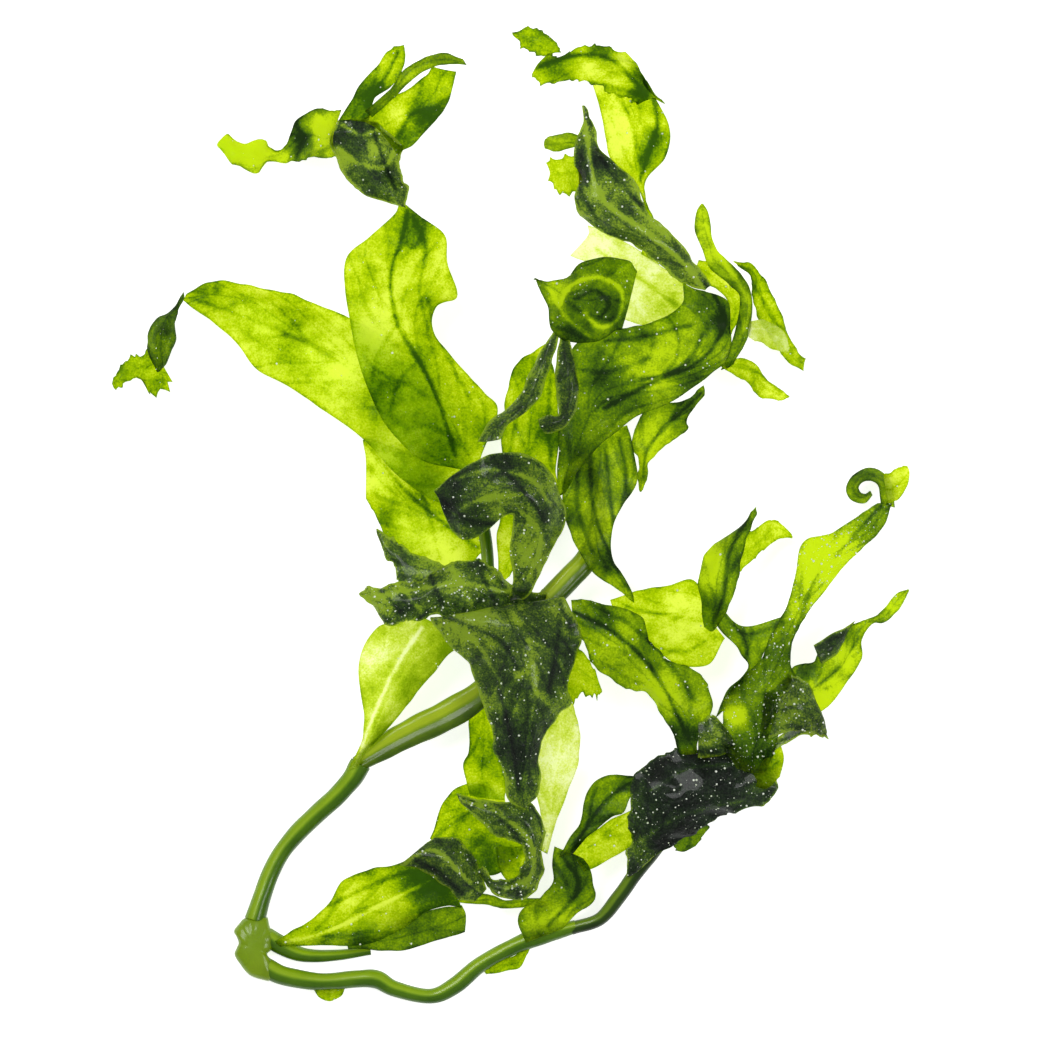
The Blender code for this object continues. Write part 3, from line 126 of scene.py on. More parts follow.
def place_piece(name, bm, material, replaced, slot=""):
    """Turn a bmesh in millimetres into a piece of the frond that takes the place of a plain solid.

    A piece with a slot is a small one that has no solid to replace."""
    bmesh.ops.translate(bm, verts=bm.verts, vec=-FRAME_ORIGIN)
    bmesh.ops.scale(bm, verts=bm.verts, vec=(MM, MM, MM))
    mesh = bpy.data.meshes.new(name)
    bm.to_mesh(mesh)
    bm.free()
    mesh.shade_smooth()
    mesh.materials.append(material)
    piece = bpy.data.objects.new(name, mesh)
    bpy.context.scene.collection.objects.link(piece)
    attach(piece, "root")
    if slot:
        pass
    else:
        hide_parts(replaced)
    return piece


STIPE_OVERLAP = 1.2
STIPE_STEPS = 10
STIPE_SIDES = 28
STIPE_SWELL = 0.07
GROOVE_ANGLE = 0.35


def stipe(node_name, stations, material, groove=0.0):
    """A fleshy stem through stations of (x, y, z, half width, half height), flat where it lies.

    Its ends run on a little way into what they grow from, and groove is how deep its upper side dips."""
    first, second, before_last, last = (Vector(stations[i][:3]) for i in (0, 1, -2, -1))
    start = tuple(first + (first - second).normalized() * STIPE_OVERLAP) + tuple(stations[0][3:])
    end = tuple(last + (last - before_last).normalized() * STIPE_OVERLAP) + tuple(stations[-1][3:])
    stations = [start] + list(stations) + [end]
    centres = smooth_line([station[:3] for station in stations], STIPE_STEPS)
    sizes = smooth_line([(station[3], station[4], 0.0) for station in stations], STIPE_STEPS)
    bm = bmesh.new()
    layer = bm.loops.layers.uv.new("Along and round")
    rings = []
    for i, (centre, size) in enumerate(zip(centres, sizes)):
        ahead = centres[min(i + 1, len(centres) - 1)] - centres[max(i - 1, 0)]
        side = ahead.cross(Vector((0.0, 0.0, 1.0))).normalized()
        up = side.cross(ahead).normalized()
        ring = []
        for k in range(STIPE_SIDES):
            turn = 2 * math.pi * (k + 0.5) / STIPE_SIDES
            swell = 1 + STIPE_SWELL * noise.noise(centre * 0.14 + Vector((k * 0.15, 0, 0)))
            dip = 1 - groove * math.exp(-((turn - math.pi / 2) / GROOVE_ANGLE) ** 2)
            across, height = size.x * swell * math.cos(turn), size.y * swell * dip * math.sin(turn)
            point = centre + side * across + up * height
            point.z = max(point.z, 0.0)
            ring.append(bm.verts.new(point))
        rings.append(ring)
    for i in range(len(rings) - 1):
        for k in range(STIPE_SIDES):
            n = (k + 1) % STIPE_SIDES
            face = bm.faces.new((rings[i][k], rings[i][n], rings[i + 1][n], rings[i + 1][k]))
            for loop, (a, b) in zip(face.loops, ((i, k), (i, k + 1), (i + 1, k + 1), (i + 1, k))):
                loop[layer].uv = (a / STIPE_STEPS, b / STIPE_SIDES)
    for ring, inward in ((rings[0], centres[0]), (rings[-1], centres[-1])):
        middle = bm.verts.new(inward)
        for k in range(STIPE_SIDES):
            bm.faces.new((ring[k], ring[(k + 1) % STIPE_SIDES], middle))
    bmesh.ops.recalc_face_normals(bm, faces=bm.faces)
    place_piece(node_name + "_flesh", bm, material, node_name)


stipe("left_stipe", [
    (-73.2, -124.9, 2.6, 3, 2.9), (-71.4, -119, 2.4, 2.8, 2.7), (-68.7, -111.6, 2.2, 2.6, 2.5),
    (-64.5, -104.2, 2.2, 2.6, 2.5), (-57.6, -96.6, 3.4, 2.8, 2.6), (-49.5, -89.2, 5.6, 2.9, 2.6),
    (-44.6, -83.8, 7.4, 3, 2.4), (-42.4, -80, 8.2, 3.2, 2.2)], fresh_stipe)
stipe("middle_stipe", [
    (-69, -131.4, 2.4, 2.8, 2.7), (-65.6, -133.6, 2.3, 2.9, 2.6), (-59, -136.4, 1.9, 2.2, 2.2),
    (-50, -136.6, 1.5, 1.7, 1.6), (-40, -135.4, 1.2, 1.3, 1.3)], fresh_stipe)
stipe("lower_stipe", [
    (-69.8, -140.4, 2.6, 3, 2.9), (-64.5, -142.8, 2.5, 2.9, 2.8), (-54, -144.4, 2.3, 2.6, 2.6),
    (-43, -143.6, 2.3, 2.6, 2.6), (-37, -143.8, 2.3, 2.8, 2.6), (-31.5, -146.6, 2.2, 2.4, 2.4),
    (-21, -148.8, 2, 2.2, 2.2), (-13.5, -145.6, 2.1, 2.6, 2.3), (-6, -139.4, 2.1, 2.4, 2.3),
    (3, -134.4, 2.2, 2.4, 2.3), (13, -130.4, 2.4, 2.8, 2.4), (21.6, -128.2, 2.6, 2.1, 2.2)], fresh_stipe)
stipe("left_branch", [
    (-41.8, -78.5, 8.5, 2.6, 1.8), (-34.6, -74, 9.4, 3.7, 1.8), (-26.6, -69.6, 10.4, 4.2, 1.8),
    (-17.5, -65.2, 11.8, 4.6, 1.8), (-8.5, -60, 13, 4.2, 1.8), (-1, -53.4, 14.2, 3.6, 2),
    (5, -45.6, 15, 3.4, 2.2), (10.4, -36.4, 15.4, 3.4, 2.4), (15, -29.6, 15.2, 3.6, 2.6)],
    bright_stipe, groove=0.55)
stipe("right_stem", [
    (15.7, -28.9, 14.9, 3.6, 2.6), (21, -23.2, 14, 3.6, 2.6), (26.4, -17, 13, 3.4, 2.6),
    (29.4, -8, 12.2, 2.8, 2.4), (28.6, 3, 12, 2.4, 2.2), (25, 12.4, 13.8, 2, 2)], bright_stipe, groove=0.3)
stipe("upper_stem", [
    (-2.9, -47.4, 14.4, 2, 1.8), (-2.8, -41, 14, 2, 1.8), (-3.4, -28, 13.4, 1.9, 1.8),
    (-4, -14, 12.4, 1.9, 1.8), (-6.2, -2.4, 11.4, 1.9, 1.7), (-8, 5.4, 10.4, 1.8, 1.5)], fresh_stipe)
stipe("dark_stem", [
    (22.6, -128.1, 2.8, 2, 2), (30, -125.6, 3.8, 2, 1.9), (35.6, -119, 5.4, 2.2, 2),
    (40.8, -111.6, 7.4, 2.2, 2), (45.4, -106, 9, 2.2, 2), (49, -101.4, 12, 2, 1.8)], dark_stipe)

cut_outline = [(-69.6, -125.2), (-73.2, -124.4), (-76.6, -125.4), (-78.2, -127.0), (-79.8, -129.2),
               (-79.0, -131.0), (-78.4, -132.8), (-79.0, -134.4), (-79.6, -136.4), (-77.8, -139.4),
               (-75.2, -142.4), (-71.6, -143.8), (-68.6, -143.8), (-68.4, -138.6), (-69.8, -136.2),
               (-68.4, -134.6), (-67.8, -130.2), (-69.0, -128.0)]
cut_line = smooth_line([(x, y, 0.0) for x, y in cut_outline + cut_outline[:1]], 5)[:-1]
cut_middle = Vector((-73.8, -134.4, 0.0))
CUT_ROUGHNESS = 0.35
# Heights above the surface, with the share of the outline that is left at each.
cut_levels = ((0.0, 0.80), (0.9, 0.95), (2.6, 1.0), (4.4, 0.95), (5.5, 0.78), (5.9, 0.4))
bm = bmesh.new()
rings = []
for height, inset in cut_levels:
    ring = []
    for spot in cut_line:
        point = cut_middle + Vector((0.0, 0.0, height)) + (spot - cut_middle) * inset
        point.z = max(0.0, point.z + CUT_ROUGHNESS * noise.noise(point * 0.8) * (height > 0))
        ring.append(bm.verts.new(point))
    rings.append(ring)
for ring, following in zip(rings, rings[1:]):
    for k in range(len(ring)):
        n = (k + 1) % len(ring)
        bm.faces.new((ring[k], ring[n], following[n], following[k]))
bm.faces.new(rings[0])
bm.faces.new(rings[-1])
bmesh.ops.recalc_face_normals(bm, faces=bm.faces)
cut_flesh = stipe_flesh("Pale cut stipe flesh", "84A80C", "A4C020", "C8DC58")
place_piece("base_flesh", bm, cut_flesh, "base_junction")

# The left leaf
# A blade is a sheet of algal tissue two or three cells thick. It grows out of its stem along a
# dark midrib, and its margins grow faster than its middle, so they ruffle, curl and tear.
BLADE_THICKNESS = 0.34
BLADE_OVERLAP = 1.4
ROW_LENGTH = 0.65
COLUMN_WIDTH = 1.2
RIB_STEPS = 8
LINE_HALF_WIDTH = 0.65
RIM_WIDTH = 0.8
# A margin swings and flutters. Both grow over the first 6 mm and fade over the last 4 mm.
SWING_HEIGHT = 2.0
FLUTTER_HEIGHT = 0.8
FLUTTER_RATE = 2.7
CREASE_LENGTH = 4.0
CREASE_HEIGHT = 0.4
ROOT_FADE = 6.0
TIP_FADE = 4.0
# The UV map is in centimetres, and side veins leave the midrib at a slant of 2.4 to 1.
MM_PER_CM = 10
VEIN_SLANT = 2.4


def blade_tissue(name, stops, clear, glow, sheen, vein_tone, rim_tone):
    """Thin algal blade: wet and smooth, with light from below shining through its green cells.

    clear is its share of light that passes straight through, and glow the share of the rest that
    comes through scattered. vein_tone and rim_tone darken its veins and its rim, or make them paler."""
    material = bpy.data.materials.new(name)
    material.use_nodes = True
    tree = material.node_tree
    tree.nodes.clear()
    place = node(tree, "ShaderNodeTexCoord").outputs
    # Pigment lies in clouds of about 15 mm, the sheet is crinkled every 4 mm and its cells show
    # as grain of about 0.5 mm.
    clouds = node(tree, "ShaderNodeTexNoise", {"Vector": place["Object"], "Scale": 65.0, "Detail": 3.0,
                                               "Roughness": 0.62})
    cells = node(tree, "ShaderNodeTexNoise", {"Vector": place["Object"], "Scale": 1700.0, "Detail": 1.0,
                                              "Roughness": 0.7})
    crinkles = node(tree, "ShaderNodeTexNoise", {"Vector": place["Object"], "Scale": 240.0, "Detail": 2.0,
                                                 "Roughness": 0.6})
    # The UV map holds centimetres: slanted along the blade in U, and off the midrib plus 0.5 in V.
    along = node(tree, "ShaderNodeSeparateXYZ", {0: place["UV"]}).outputs
    midrib = node(tree, "ShaderNodeValToRGB", {0: along["Y"]},
                  [(0.42, (0, 0, 0, 1)), (0.48, (0.3, 0.3, 0.3, 1)), (0.5, (0.9, 0.9, 0.9, 1)),
                   (0.52, (0.3, 0.3, 0.3, 1)), (0.58, (0, 0, 0, 1))])
    # Side veins fan out from the midrib at a small angle, about 6 mm apart, and fade in and out.
    waves = node(tree, "ShaderNodeTexWave", {"Vector": place["UV"], "Scale": 0.2, "Distortion": 5.0,
                                             "Detail": 2.0, "Detail Scale": 1.3, "Detail Roughness": 0.6})
    lines = node(tree, "ShaderNodeValToRGB", {0: waves.outputs["Fac"]},
                 [(0.84, (0, 0, 0, 1)), (0.99, (1, 1, 1, 1))])
    side_veins = node(tree, "ShaderNodeMath", {0: lines.outputs["Color"], 1: clouds.outputs["Fac"]},
                      operation="MULTIPLY")
    veins = node(tree, "ShaderNodeMath", {0: midrib.outputs["Color"], 1: side_veins.outputs[0]},
                 operation="MAXIMUM")
    # The Shade attribute carries each blade's own tone together with painted shade and painted light.
    shade = node(tree, "ShaderNodeAttribute", attribute_name="Shade")
    rim = node(tree, "ShaderNodeAttribute", attribute_name="Rim")
    # Each layer adds its share to the tone, which then picks the colour from pale to dark. The crinkles'
    # share paints their light and shade into the colour.
    tone = shade.outputs["Fac"]
    for layer, share in ((clouds.outputs["Fac"], 1.1), (crinkles.outputs["Fac"], 0.7),
                         (cells.outputs["Fac"], 1.0), (veins.outputs[0], vein_tone),
                         (rim.outputs["Fac"], rim_tone)):
        tone = node(tree, "ShaderNodeMath", {0: layer, 1: share, 2: tone},
                    operation="MULTIPLY_ADD").outputs[0]
    tone = node(tree, "ShaderNodeMath", {0: tone, 1: 1.15}, operation="SUBTRACT").outputs[0]
    body = node(tree, "ShaderNodeValToRGB", {0: tone},
                [(spot, linear(colour)) for spot, colour in stops]).outputs["Color"]
    # The two skins of a blade each take half of its colour out of the light that goes through.
    one_skin = node(tree, "ShaderNodeGamma", {"Color": body, "Gamma": 0.5}).outputs[0]
    relief = node(tree, "ShaderNodeMath", {0: crinkles.outputs["Fac"], 1: 5.0, 2: cells.outputs["Fac"]},
                  operation="MULTIPLY_ADD")
    bump = node(tree, "ShaderNodeBump", {"Strength": 0.8, "Distance": 0.0004, "Height": relief.outputs[0]})
    skin = node(tree, "ShaderNodeBsdfPrincipled", {
        "Base Color": body, "Roughness": 0.3, "IOR": 1.38, "Coat Weight": sheen, "Coat Roughness": 0.1,
        "Normal": bump.outputs["Normal"]})
    through = node(tree, "ShaderNodeBsdfTranslucent", {"Color": one_skin})
    window = node(tree, "ShaderNodeBsdfTransparent", {"Color": one_skin})
    lit = node(tree, "ShaderNodeMixShader", {0: glow, 1: skin.outputs[0], 2: through.outputs[0]})
    both = node(tree, "ShaderNodeMixShader", {0: clear, 1: lit.outputs[0], 2: window.outputs[0]})
    node(tree, "ShaderNodeOutputMaterial", {"Surface": both.outputs[0]})
    return material


thin_blade = blade_tissue("Thin yellow-green blade", [
    (0.0, "E0F050"), (0.28, "B8D006"), (0.52, "90B000"), (0.75, "5A8004"), (1.0, "2E500A")],
    clear=0.40, glow=0.92, sheen=0.2, vein_tone=0.26, rim_tone=0.22)
pale_blade = blade_tissue("Pale single-layer blade", [
    (0.05, "EEF6B4"), (0.35, "D2E25C"), (0.6, "B0CA1C"), (1.0, "769804")],
    clear=0.45, glow=0.95, sheen=0.2, vein_tone=-0.2, rim_tone=0.12)
olive_blade = blade_tissue("Olive blade", [
    (0.0, "C0DA10"), (0.28, "84A406"), (0.52, "587A0A"), (0.75, "385612"), (1.0, "1C3010")],
    clear=0.34, glow=0.86, sheen=0.3, vein_tone=0.34, rim_tone=0.22)
dark_blade = blade_tissue("Dark wet blade", [
    (0.0, "A0BC2C"), (0.15, "668426"), (0.32, "3E5A1E"), (0.52, "263A1C"), (0.75, "172616"), (1.0, "0C140C")],
    clear=0.14, glow=0.55, sheen=0.5, vein_tone=0.25, rim_tone=-0.5)

grain_bed = bmesh.new()
grain_share = grain_bed.faces.layers.float.new("Share")


def line_tree(points):
    """A search tree over a line drawn on a blade, for the distance of each place to it."""
    course = smooth_line([(x, y, 0.0) for x, y in points], 24)
    tree = kdtree.KDTree(len(course))
    for i, point in enumerate(course):
        tree.insert(point, i)
    tree.balance()
    return tree


def margin_jag(travelled, edge, seed, span, teeth, tooth):
    """How far the margin on one edge, -1 or 1, runs past its rib there, as a share of the rib."""
    where = Vector((travelled, edge * 5.0, seed))
    slow = noise.noise(where * (0.5 / tooth)) * 1.5
    sharp = max(0.0, 1 - 3.2 * abs(noise.noise(where * (1 / tooth)))) ** 1.5
    jag = (slow * 0.9 + sharp * max(0.0, teeth - 0.5) * 1.5) * teeth
    return jag * min(1.0, span / 5.0) / max(span, 1.0)


def torn_rows(runs, columns, seed, teeth, tooth):
    """Rows of points over a blade with torn margins, each with its way from the root and its span."""
    middle = len(runs) // 2
    travelled = 0.0
    rows = []
    for i in range(len(runs[0])):
        row = [run[i] for run in runs]
        if i:
            travelled += (row[middle] - runs[middle][i - 1]).length
        span = (row[-1] - row[0]).length
        left, right = (margin_jag(travelled, edge, seed, span, teeth, tooth) for edge in (-1, 1))
        points = []
        for j in range(columns + 1):
            spot = (-left + (1 + left + right) * j / columns) * (len(row) - 1)
            k = max(0, min(len(row) - 2, int(math.floor(spot))))
            points.append(row[k].lerp(row[k + 1], spot - k))
        rows.append((points, travelled, span))
    return rows


def blade(name, ribs, tissue, ruffle=1.0, wave=9.0, teeth=0.6, tooth=3.0, tone=0.0, tip_tone=0.0,
          painted_shading_spots=(), lines=(), grains=0.1, slot=""):
    """A ruffled blade through its ribs, which run from the left margin over the midrib to the right.

    ruffle is how far its margins swing and wave how long a swing is, and teeth is how far its
    margin is notched and tooth how long a notch is, all in millimetres. tone darkens it, tip_tone
    its tip, and each painted shading spot (x, y, radius, tone) paints shade on a round place where
    it is folded or lies under another blade, or paints light there when its tone is negative. The
    lines (tone, points) are 1.3 mm wide: with a positive tone they are veins and painted shade along
    creases, and with a negative tone paler veins and painted highlights along creases. grains is its
    share of grains, and a small blade that has no solid to replace names its slot."""
    seed = sum(ord(letter) * (i + 1) for i, letter in enumerate(name)) % 97 * 3.7
    ribs = [[Vector(point) for point in rib] for rib in ribs]
    root = [a + (a - b) * min(1.0, BLADE_OVERLAP / max((a - b).length, 0.01))
            for a, b in zip(ribs[0], ribs[1])]
    rows = [smooth_line(rib, RIB_STEPS) for rib in [root] + ribs]
    middles = [row[RIB_STEPS // 2 * (len(ribs[0]) - 1)] for row in rows]
    length = sum((b - a).length for a, b in zip(middles, middles[1:]))
    width = max((rib[-1] - rib[0]).length for rib in ribs)
    steps = max(4, math.ceil(length / len(ribs) / ROW_LENGTH))
    drawn = [(depth, line_tree(points)) for depth, points in lines]
    runs = [smooth_line(run, steps) for run in zip(*rows)]
    columns = 2 * max(6, min(28, math.ceil(width / COLUMN_WIDTH)))
    grid = torn_rows(runs, columns, seed, teeth, tooth)
    length = grid[-1][1]
    bm = bmesh.new()
    layer = bm.loops.layers.uv.new("Along and across")
    shade = bm.verts.layers.float.new("Shade")
    rim = bm.verts.layers.float.new("Rim")
    made = []
    for i, (row, travel, span) in enumerate(grid):
        made_row = []
        for j, point in enumerate(row):
            v = j / columns
            ahead = grid[min(i + 1, len(grid) - 1)][0][j] - grid[max(i - 1, 0)][0][j]
            over = row[min(j + 1, columns)] - row[max(j - 1, 0)]
            up = ahead.cross(over)
            up = up.normalized() if up.length > 1e-9 else Vector((0.0, 0.0, 1.0))
            edge = abs(2 * v - 1)
            fade = max(0.0, min(1.0, travel / ROOT_FADE, (length - travel) / TIP_FADE + 0.25))
            swing = noise.noise(Vector((travel / wave, math.copysign(2.0, v - 0.5), seed)))
            flutter = noise.noise(Vector((travel / wave * FLUTTER_RATE, math.copysign(7.0, v - 0.5), seed)))
            crease = noise.noise(Vector((point.x / CREASE_LENGTH, point.y / CREASE_LENGTH, seed)))
            ruffles = (swing * SWING_HEIGHT + flutter * FLUTTER_HEIGHT * edge) * ruffle * edge ** 2
            rise = (ruffles + crease * CREASE_HEIGHT) * fade
            spot = point + up * rise
            spot.z = max(spot.z, BLADE_THICKNESS / 2)
            vert = bm.verts.new(spot)
            # A margin that lifts is given painted shade, darker the higher it rises.
            lifted_margin = max(0.0, rise if edge > 0.5 else 0.0)
            vert[shade] = tone + tip_tone * travel / length + 0.5 * lifted_margin / 3
            # Each spot paints shade on a round place where the blade is folded or lies under another, and
            # light where its tone is negative.
            for x, y, radius, depth in painted_shading_spots:
                vert[shade] += depth * math.exp(-((spot.x - x) ** 2 + (spot.y - y) ** 2) / radius ** 2)
            # Lines paint veins, and painted highlights and painted shade along creases.
            for depth, tree in drawn:
                away = tree.find((spot.x, spot.y, 0.0))[2]
                vert[shade] += depth * math.exp(-(away / LINE_HALF_WIDTH) ** 2)
            vert[rim] = max(0.0, 1.0 - (1 - edge) * span / 2 / RIM_WIDTH)
            made_row.append(vert)
        made.append(made_row)
    for i in range(len(made) - 1):
        for j in range(columns):
            corners = ((i, j), (i, j + 1), (i + 1, j + 1), (i + 1, j))
            face = bm.faces.new([made[a][b] for a, b in corners])
            for loop, (a, b) in zip(face.loops, corners):
                drift = 0.12 * noise.noise(Vector((grid[a][1] / 13, 3.0, seed)))
                off = (b / columns - 0.5) * grid[a][2] / MM_PER_CM + drift
                loop[layer].uv = (grid[a][1] / MM_PER_CM - abs(off) * VEIN_SLANT, off + 0.5)
            lifted = [made[a][b].co + Vector((0, 0, BLADE_THICKNESS / 2)) for a, b in corners]
            bed = grain_bed.faces.new([grain_bed.verts.new(point) for point in lifted])
            bed[grain_share] = grains
    piece = place_piece(name + "_blade", bm, tissue, name, slot)
    skins = piece.modifiers.new("Two skins", "SOLIDIFY")
    skins.thickness = BLADE_THICKNESS * MM
    skins.offset = 0.0


blade("left_leaf", [
    ((-44.8, -79.4, 10.9), (-43.4, -79, 11), (-41.8, -78.6, 10.9)),
    ((-43, -75.6, 11.2), (-41.6, -75.2, 10.8), (-40, -75.4, 11.2)),
    ((-41, -70, 11.8), (-38.6, -70.2, 10.8), (-35.6, -71, 12.6)),
    ((-40.8, -63, 12.6), (-34.8, -62.4, 10.8), (-29, -62.8, 14.4)),
    ((-42, -57, 13.4), (-33, -57.6, 10.6), (-24.6, -57.4, 16.2)),
    ((-42.4, -51, 14.2), (-30.6, -50.4, 11), (-19.6, -51.6, 17.8)),
    ((-40.8, -44.2, 15.2), (-27.6, -44.4, 12.2), (-15, -46.4, 19)),
    ((-36.6, -38.4, 16.2), (-24.6, -39.6, 13.4), (-12.6, -43.6, 19.4)),
    ((-31.4, -36.4, 17.2), (-22.8, -35.4, 15.4), (-15.6, -40.2, 18.4))],
    pale_blade, tone=0.28, ruffle=0.4, wave=14, teeth=0.2,
    painted_shading_spots=[(-37.5, -46.5, 5.4, -0.3), (-22.5, -57, 7.2, 0.5), (-14.4, -45, 6, 0.55),
           (-34.5, -70.5, 4.2, 0.4), (-41.4, -57, 3, 0.25)],
    lines=[(-0.55, [(-41.4, -73.5), (-36, -60), (-30, -48), (-23.4, -38.4)]),
           (0.5, [(-37.8, -73.5), (-28.5, -63.6), (-18, -51.6), (-11.4, -43.5)])])

# The long blades on the left
# Three broad, thin blades spread from the end of the upper stem. The tall one lies over the long
# one, which lies over the low one. The long one ends in a dried, rolled tip with a torn claw.
blade("tall_blade", [
    ((-9.4, 5.6, 12.5), (-8, 6.2, 12.4), (-6.6, 6.6, 12.5)),
    ((-10.4, 8.6, 12.4), (-8.6, 11.2, 12), (-5.8, 12.6, 12.6)),
    ((-22.4, 11.4, 12.6), (-13.4, 21, 13), (-0.9, 26.4, 17)),
    ((-30.6, 18, 12.4), (-18.9, 31.2, 14), (-6, 33.6, 18.4)),
    ((-37.4, 28.4, 12.4), (-24.6, 42.8, 14.6), (-15.3, 43.8, 19.4)),
    ((-42.6, 42, 12.6), (-28.8, 50.4, 14.6), (-19.2, 51, 20)),
    ((-45, 54, 12.6), (-30.6, 56.4, 14.2), (-18.6, 57, 20)),
    ((-46.5, 63, 12.2), (-32.4, 63.6, 13.8), (-12.6, 60.9, 19.8)),
    ((-45.9, 72.6, 12.6), (-31.8, 71.4, 14.4), (-15.9, 70.8, 18.6)),
    ((-39, 78.6, 13.6), (-27.6, 77.4, 15.4), (-16.8, 79.2, 17.8)),
    ((-31.8, 85.2, 15.6), (-27, 83.4, 16), (-23.7, 84.9, 17)),
    ((-30.3, 88.2, 16.8), (-29.1, 88.5, 16.8), (-27.9, 88.2, 17))],
    thin_blade, ruffle=0.9, wave=15, teeth=0.3, tooth=7,
    painted_shading_spots=[(-27, 81.6, 7.2, 0.5), (-22.8, 45, 6.6, 0.35), (-21, 58.5, 5.4, 0.25), (-36, 51, 7.8, -0.2),
           (-18, 70.5, 5.4, -0.2), (-37.5, 31.5, 6, 0.5), (-21, 27, 8.4, 0.25), (-18, 13.5, 9, 0.35),
           (-9, 21, 6, 0.2)],
    lines=[(0.55, [(-27.6, 86.4), (-29.4, 78), (-32.1, 70.5), (-32.7, 63), (-30.6, 52.5), (-25.5, 43.5),
            (-20.4, 34.5), (-16.5, 24), (-13.5, 13.5)]),
           (0.3, [(-26.4, 85.5), (-22.2, 75), (-24, 63), (-21.6, 51)]),
           (0.25, [(-30.6, 52.5), (-36, 45), (-38.4, 36)]),
           (0.25, [(-24.6, 42), (-30.6, 34.5), (-33, 25.5)]),
           (0.3, [(-21.6, 60), (-19.2, 51), (-14.4, 40.5), (-9, 30)])])
blade("long_left_blade", [
    ((-9.2, 6.3, 9.7), (-8.3, 6.2, 9.3), (-7.3, 6.4, 9.5)),
    ((-11.4, 7.2, 8.6), (-11.7, 10, 8.2), (-11.1, 13, 8.6)),
    ((-17.4, -0.9, 6.6), (-18, 20, 7.4), (-14.4, 28.5, 8.8)),
    ((-30, 6.6, 6.4), (-26.4, 28.5, 6.6), (-22.5, 37.5, 8.8)),
    ((-41.1, 18, 5.6), (-36, 36, 4.6), (-32.4, 47.4, 8)),
    ((-52.5, 26.4, 4.4), (-46.5, 41.7, 2), (-45, 54.3, 7)),
    ((-63, 33.6, 3.4), (-56.4, 47.1, 0.3), (-54.6, 58.5, 6.2)),
    ((-72.6, 39, 3), (-66, 54, 0.3), (-66, 62.4, 5.6)),
    ((-79.2, 47.4, 3.2), (-74.4, 59.7, 1.2), (-75.6, 64.5, 5.2)),
    ((-86.4, 53.4, 4.2), (-83.4, 61.2, 3.2), (-83.4, 65.7, 5.8)),
    ((-92.4, 57.6, 5.8), (-90.6, 61.2, 5.4), (-89.4, 64.5, 6.8)),
    ((-94.8, 59.7, 7.2), (-94.5, 60.6, 7.2), (-93.9, 61.8, 7.4))],
    thin_blade, ruffle=0.8, wave=13, teeth=0.3, tooth=6, tone=-0.08,
    painted_shading_spots=[(-90, 62.4, 7.8, 0.35), (-60, 55.5, 6.6, 0.2), (-78, 60, 5.4, 0.15), (-45, 38.4, 6, -0.3),
           (-37.5, 30, 7.2, 0.3), (-21, 15, 9, 0.2)],
    lines=[(0.24, [(-93, 60.6), (-78, 55.5), (-63, 49.5), (-48, 41.4), (-34.5, 31.5), (-21, 18)]),
           (0.1, [(-85.5, 63), (-72, 60), (-57, 54.6), (-45, 46.5)]),
           (0.1, [(-78, 51), (-64.5, 42), (-51, 31.5)])])
blade("low_left_blade", [
    ((-6.6, 0, 10.4), (-5.4, -6, 9.4), (-4.8, -13.5, 9)),
    ((-15.6, 6.6, 4.4), (-13.5, -6.6, 3.4), (-9.6, -21.6, 4)),
    ((-23.4, 12, 3.2), (-21.6, -4.5, 1.6), (-16.2, -23.4, 3.2)),
    ((-31.5, 15.6, 3), (-30.6, 0.6, 0.3), (-30.6, -18, 2.4)),
    ((-38.4, 18, 2.6), (-36.6, 6, 0.3), (-36, -6.6, 2.4)),
    ((-41.1, 17.7, 2.8), (-40.2, 11.4, 1.2), (-40.2, 0, 3))],
    thin_blade, ruffle=1.0, wave=9, teeth=0.9, tooth=4,
    painted_shading_spots=[(-30, 12, 7.2, -0.2), (-21, 0, 6, 0.3), (-34.5, -6, 4.2, 0.2), (-18, -15, 7.2, -0.2),
           (-9, -9, 4.8, 0.3)],
    lines=[(0.45, [(-38.4, 15), (-28.5, 3), (-18, -6), (-6.6, -14.4)]),
           (0.3, [(-28.5, 12), (-22.5, 0), (-18, -18)])])
blade("left_tip_curl", [
    ((-95.6, 61.2, 7.4), (-95.3, 60.2, 7.6), (-95.2, 59.2, 7.4)),
    ((-98.4, 56.7, 7.4), (-97.5, 56.3, 8.6), (-96.9, 56.1, 7.4)),
    ((-102.6, 54.6, 5.4), (-99.9, 54, 8.8), (-97.2, 53.4, 6)),
    ((-105.3, 50.1, 4.2), (-101.4, 49.5, 8.8), (-97.5, 48.9, 5)),
    ((-105.6, 45.6, 3.8), (-102, 45.3, 8), (-98.4, 45, 4.6)),
    ((-103.8, 41.1, 4), (-101.7, 40.5, 6.2), (-99.6, 41.4, 4.4)),
    ((-102.9, 38.7, 4.2), (-102.6, 38.4, 4.4), (-102, 38.7, 4.2))],
    olive_blade, ruffle=0.4, wave=6, teeth=0.3, tone=0.35, grains=0.4)
blade("left_tip_claw", [
    ((-104.4, 44.4, 2.8), (-102.6, 40.5, 3.1), (-99, 34.2, 2.7)),
    ((-108.6, 42.6, 1.4), (-107.4, 39.6, 1.8), (-104.4, 31.8, 1.2)),
    ((-111.6, 41.1, 0.9), (-110.7, 38.1, 1.2), (-108.6, 36.9, 0.9)),
    ((-114.6, 38.1, 0.6), (-114.3, 35.7, 0.8), (-113.4, 34.2, 0.6)),
    ((-116.1, 34.2, 0.4), (-115.8, 33.6, 0.4), (-114.9, 32.7, 0.4))],
    thin_blade, ruffle=0.5, wave=5, teeth=1.6, tooth=2.4, tone=0.25)
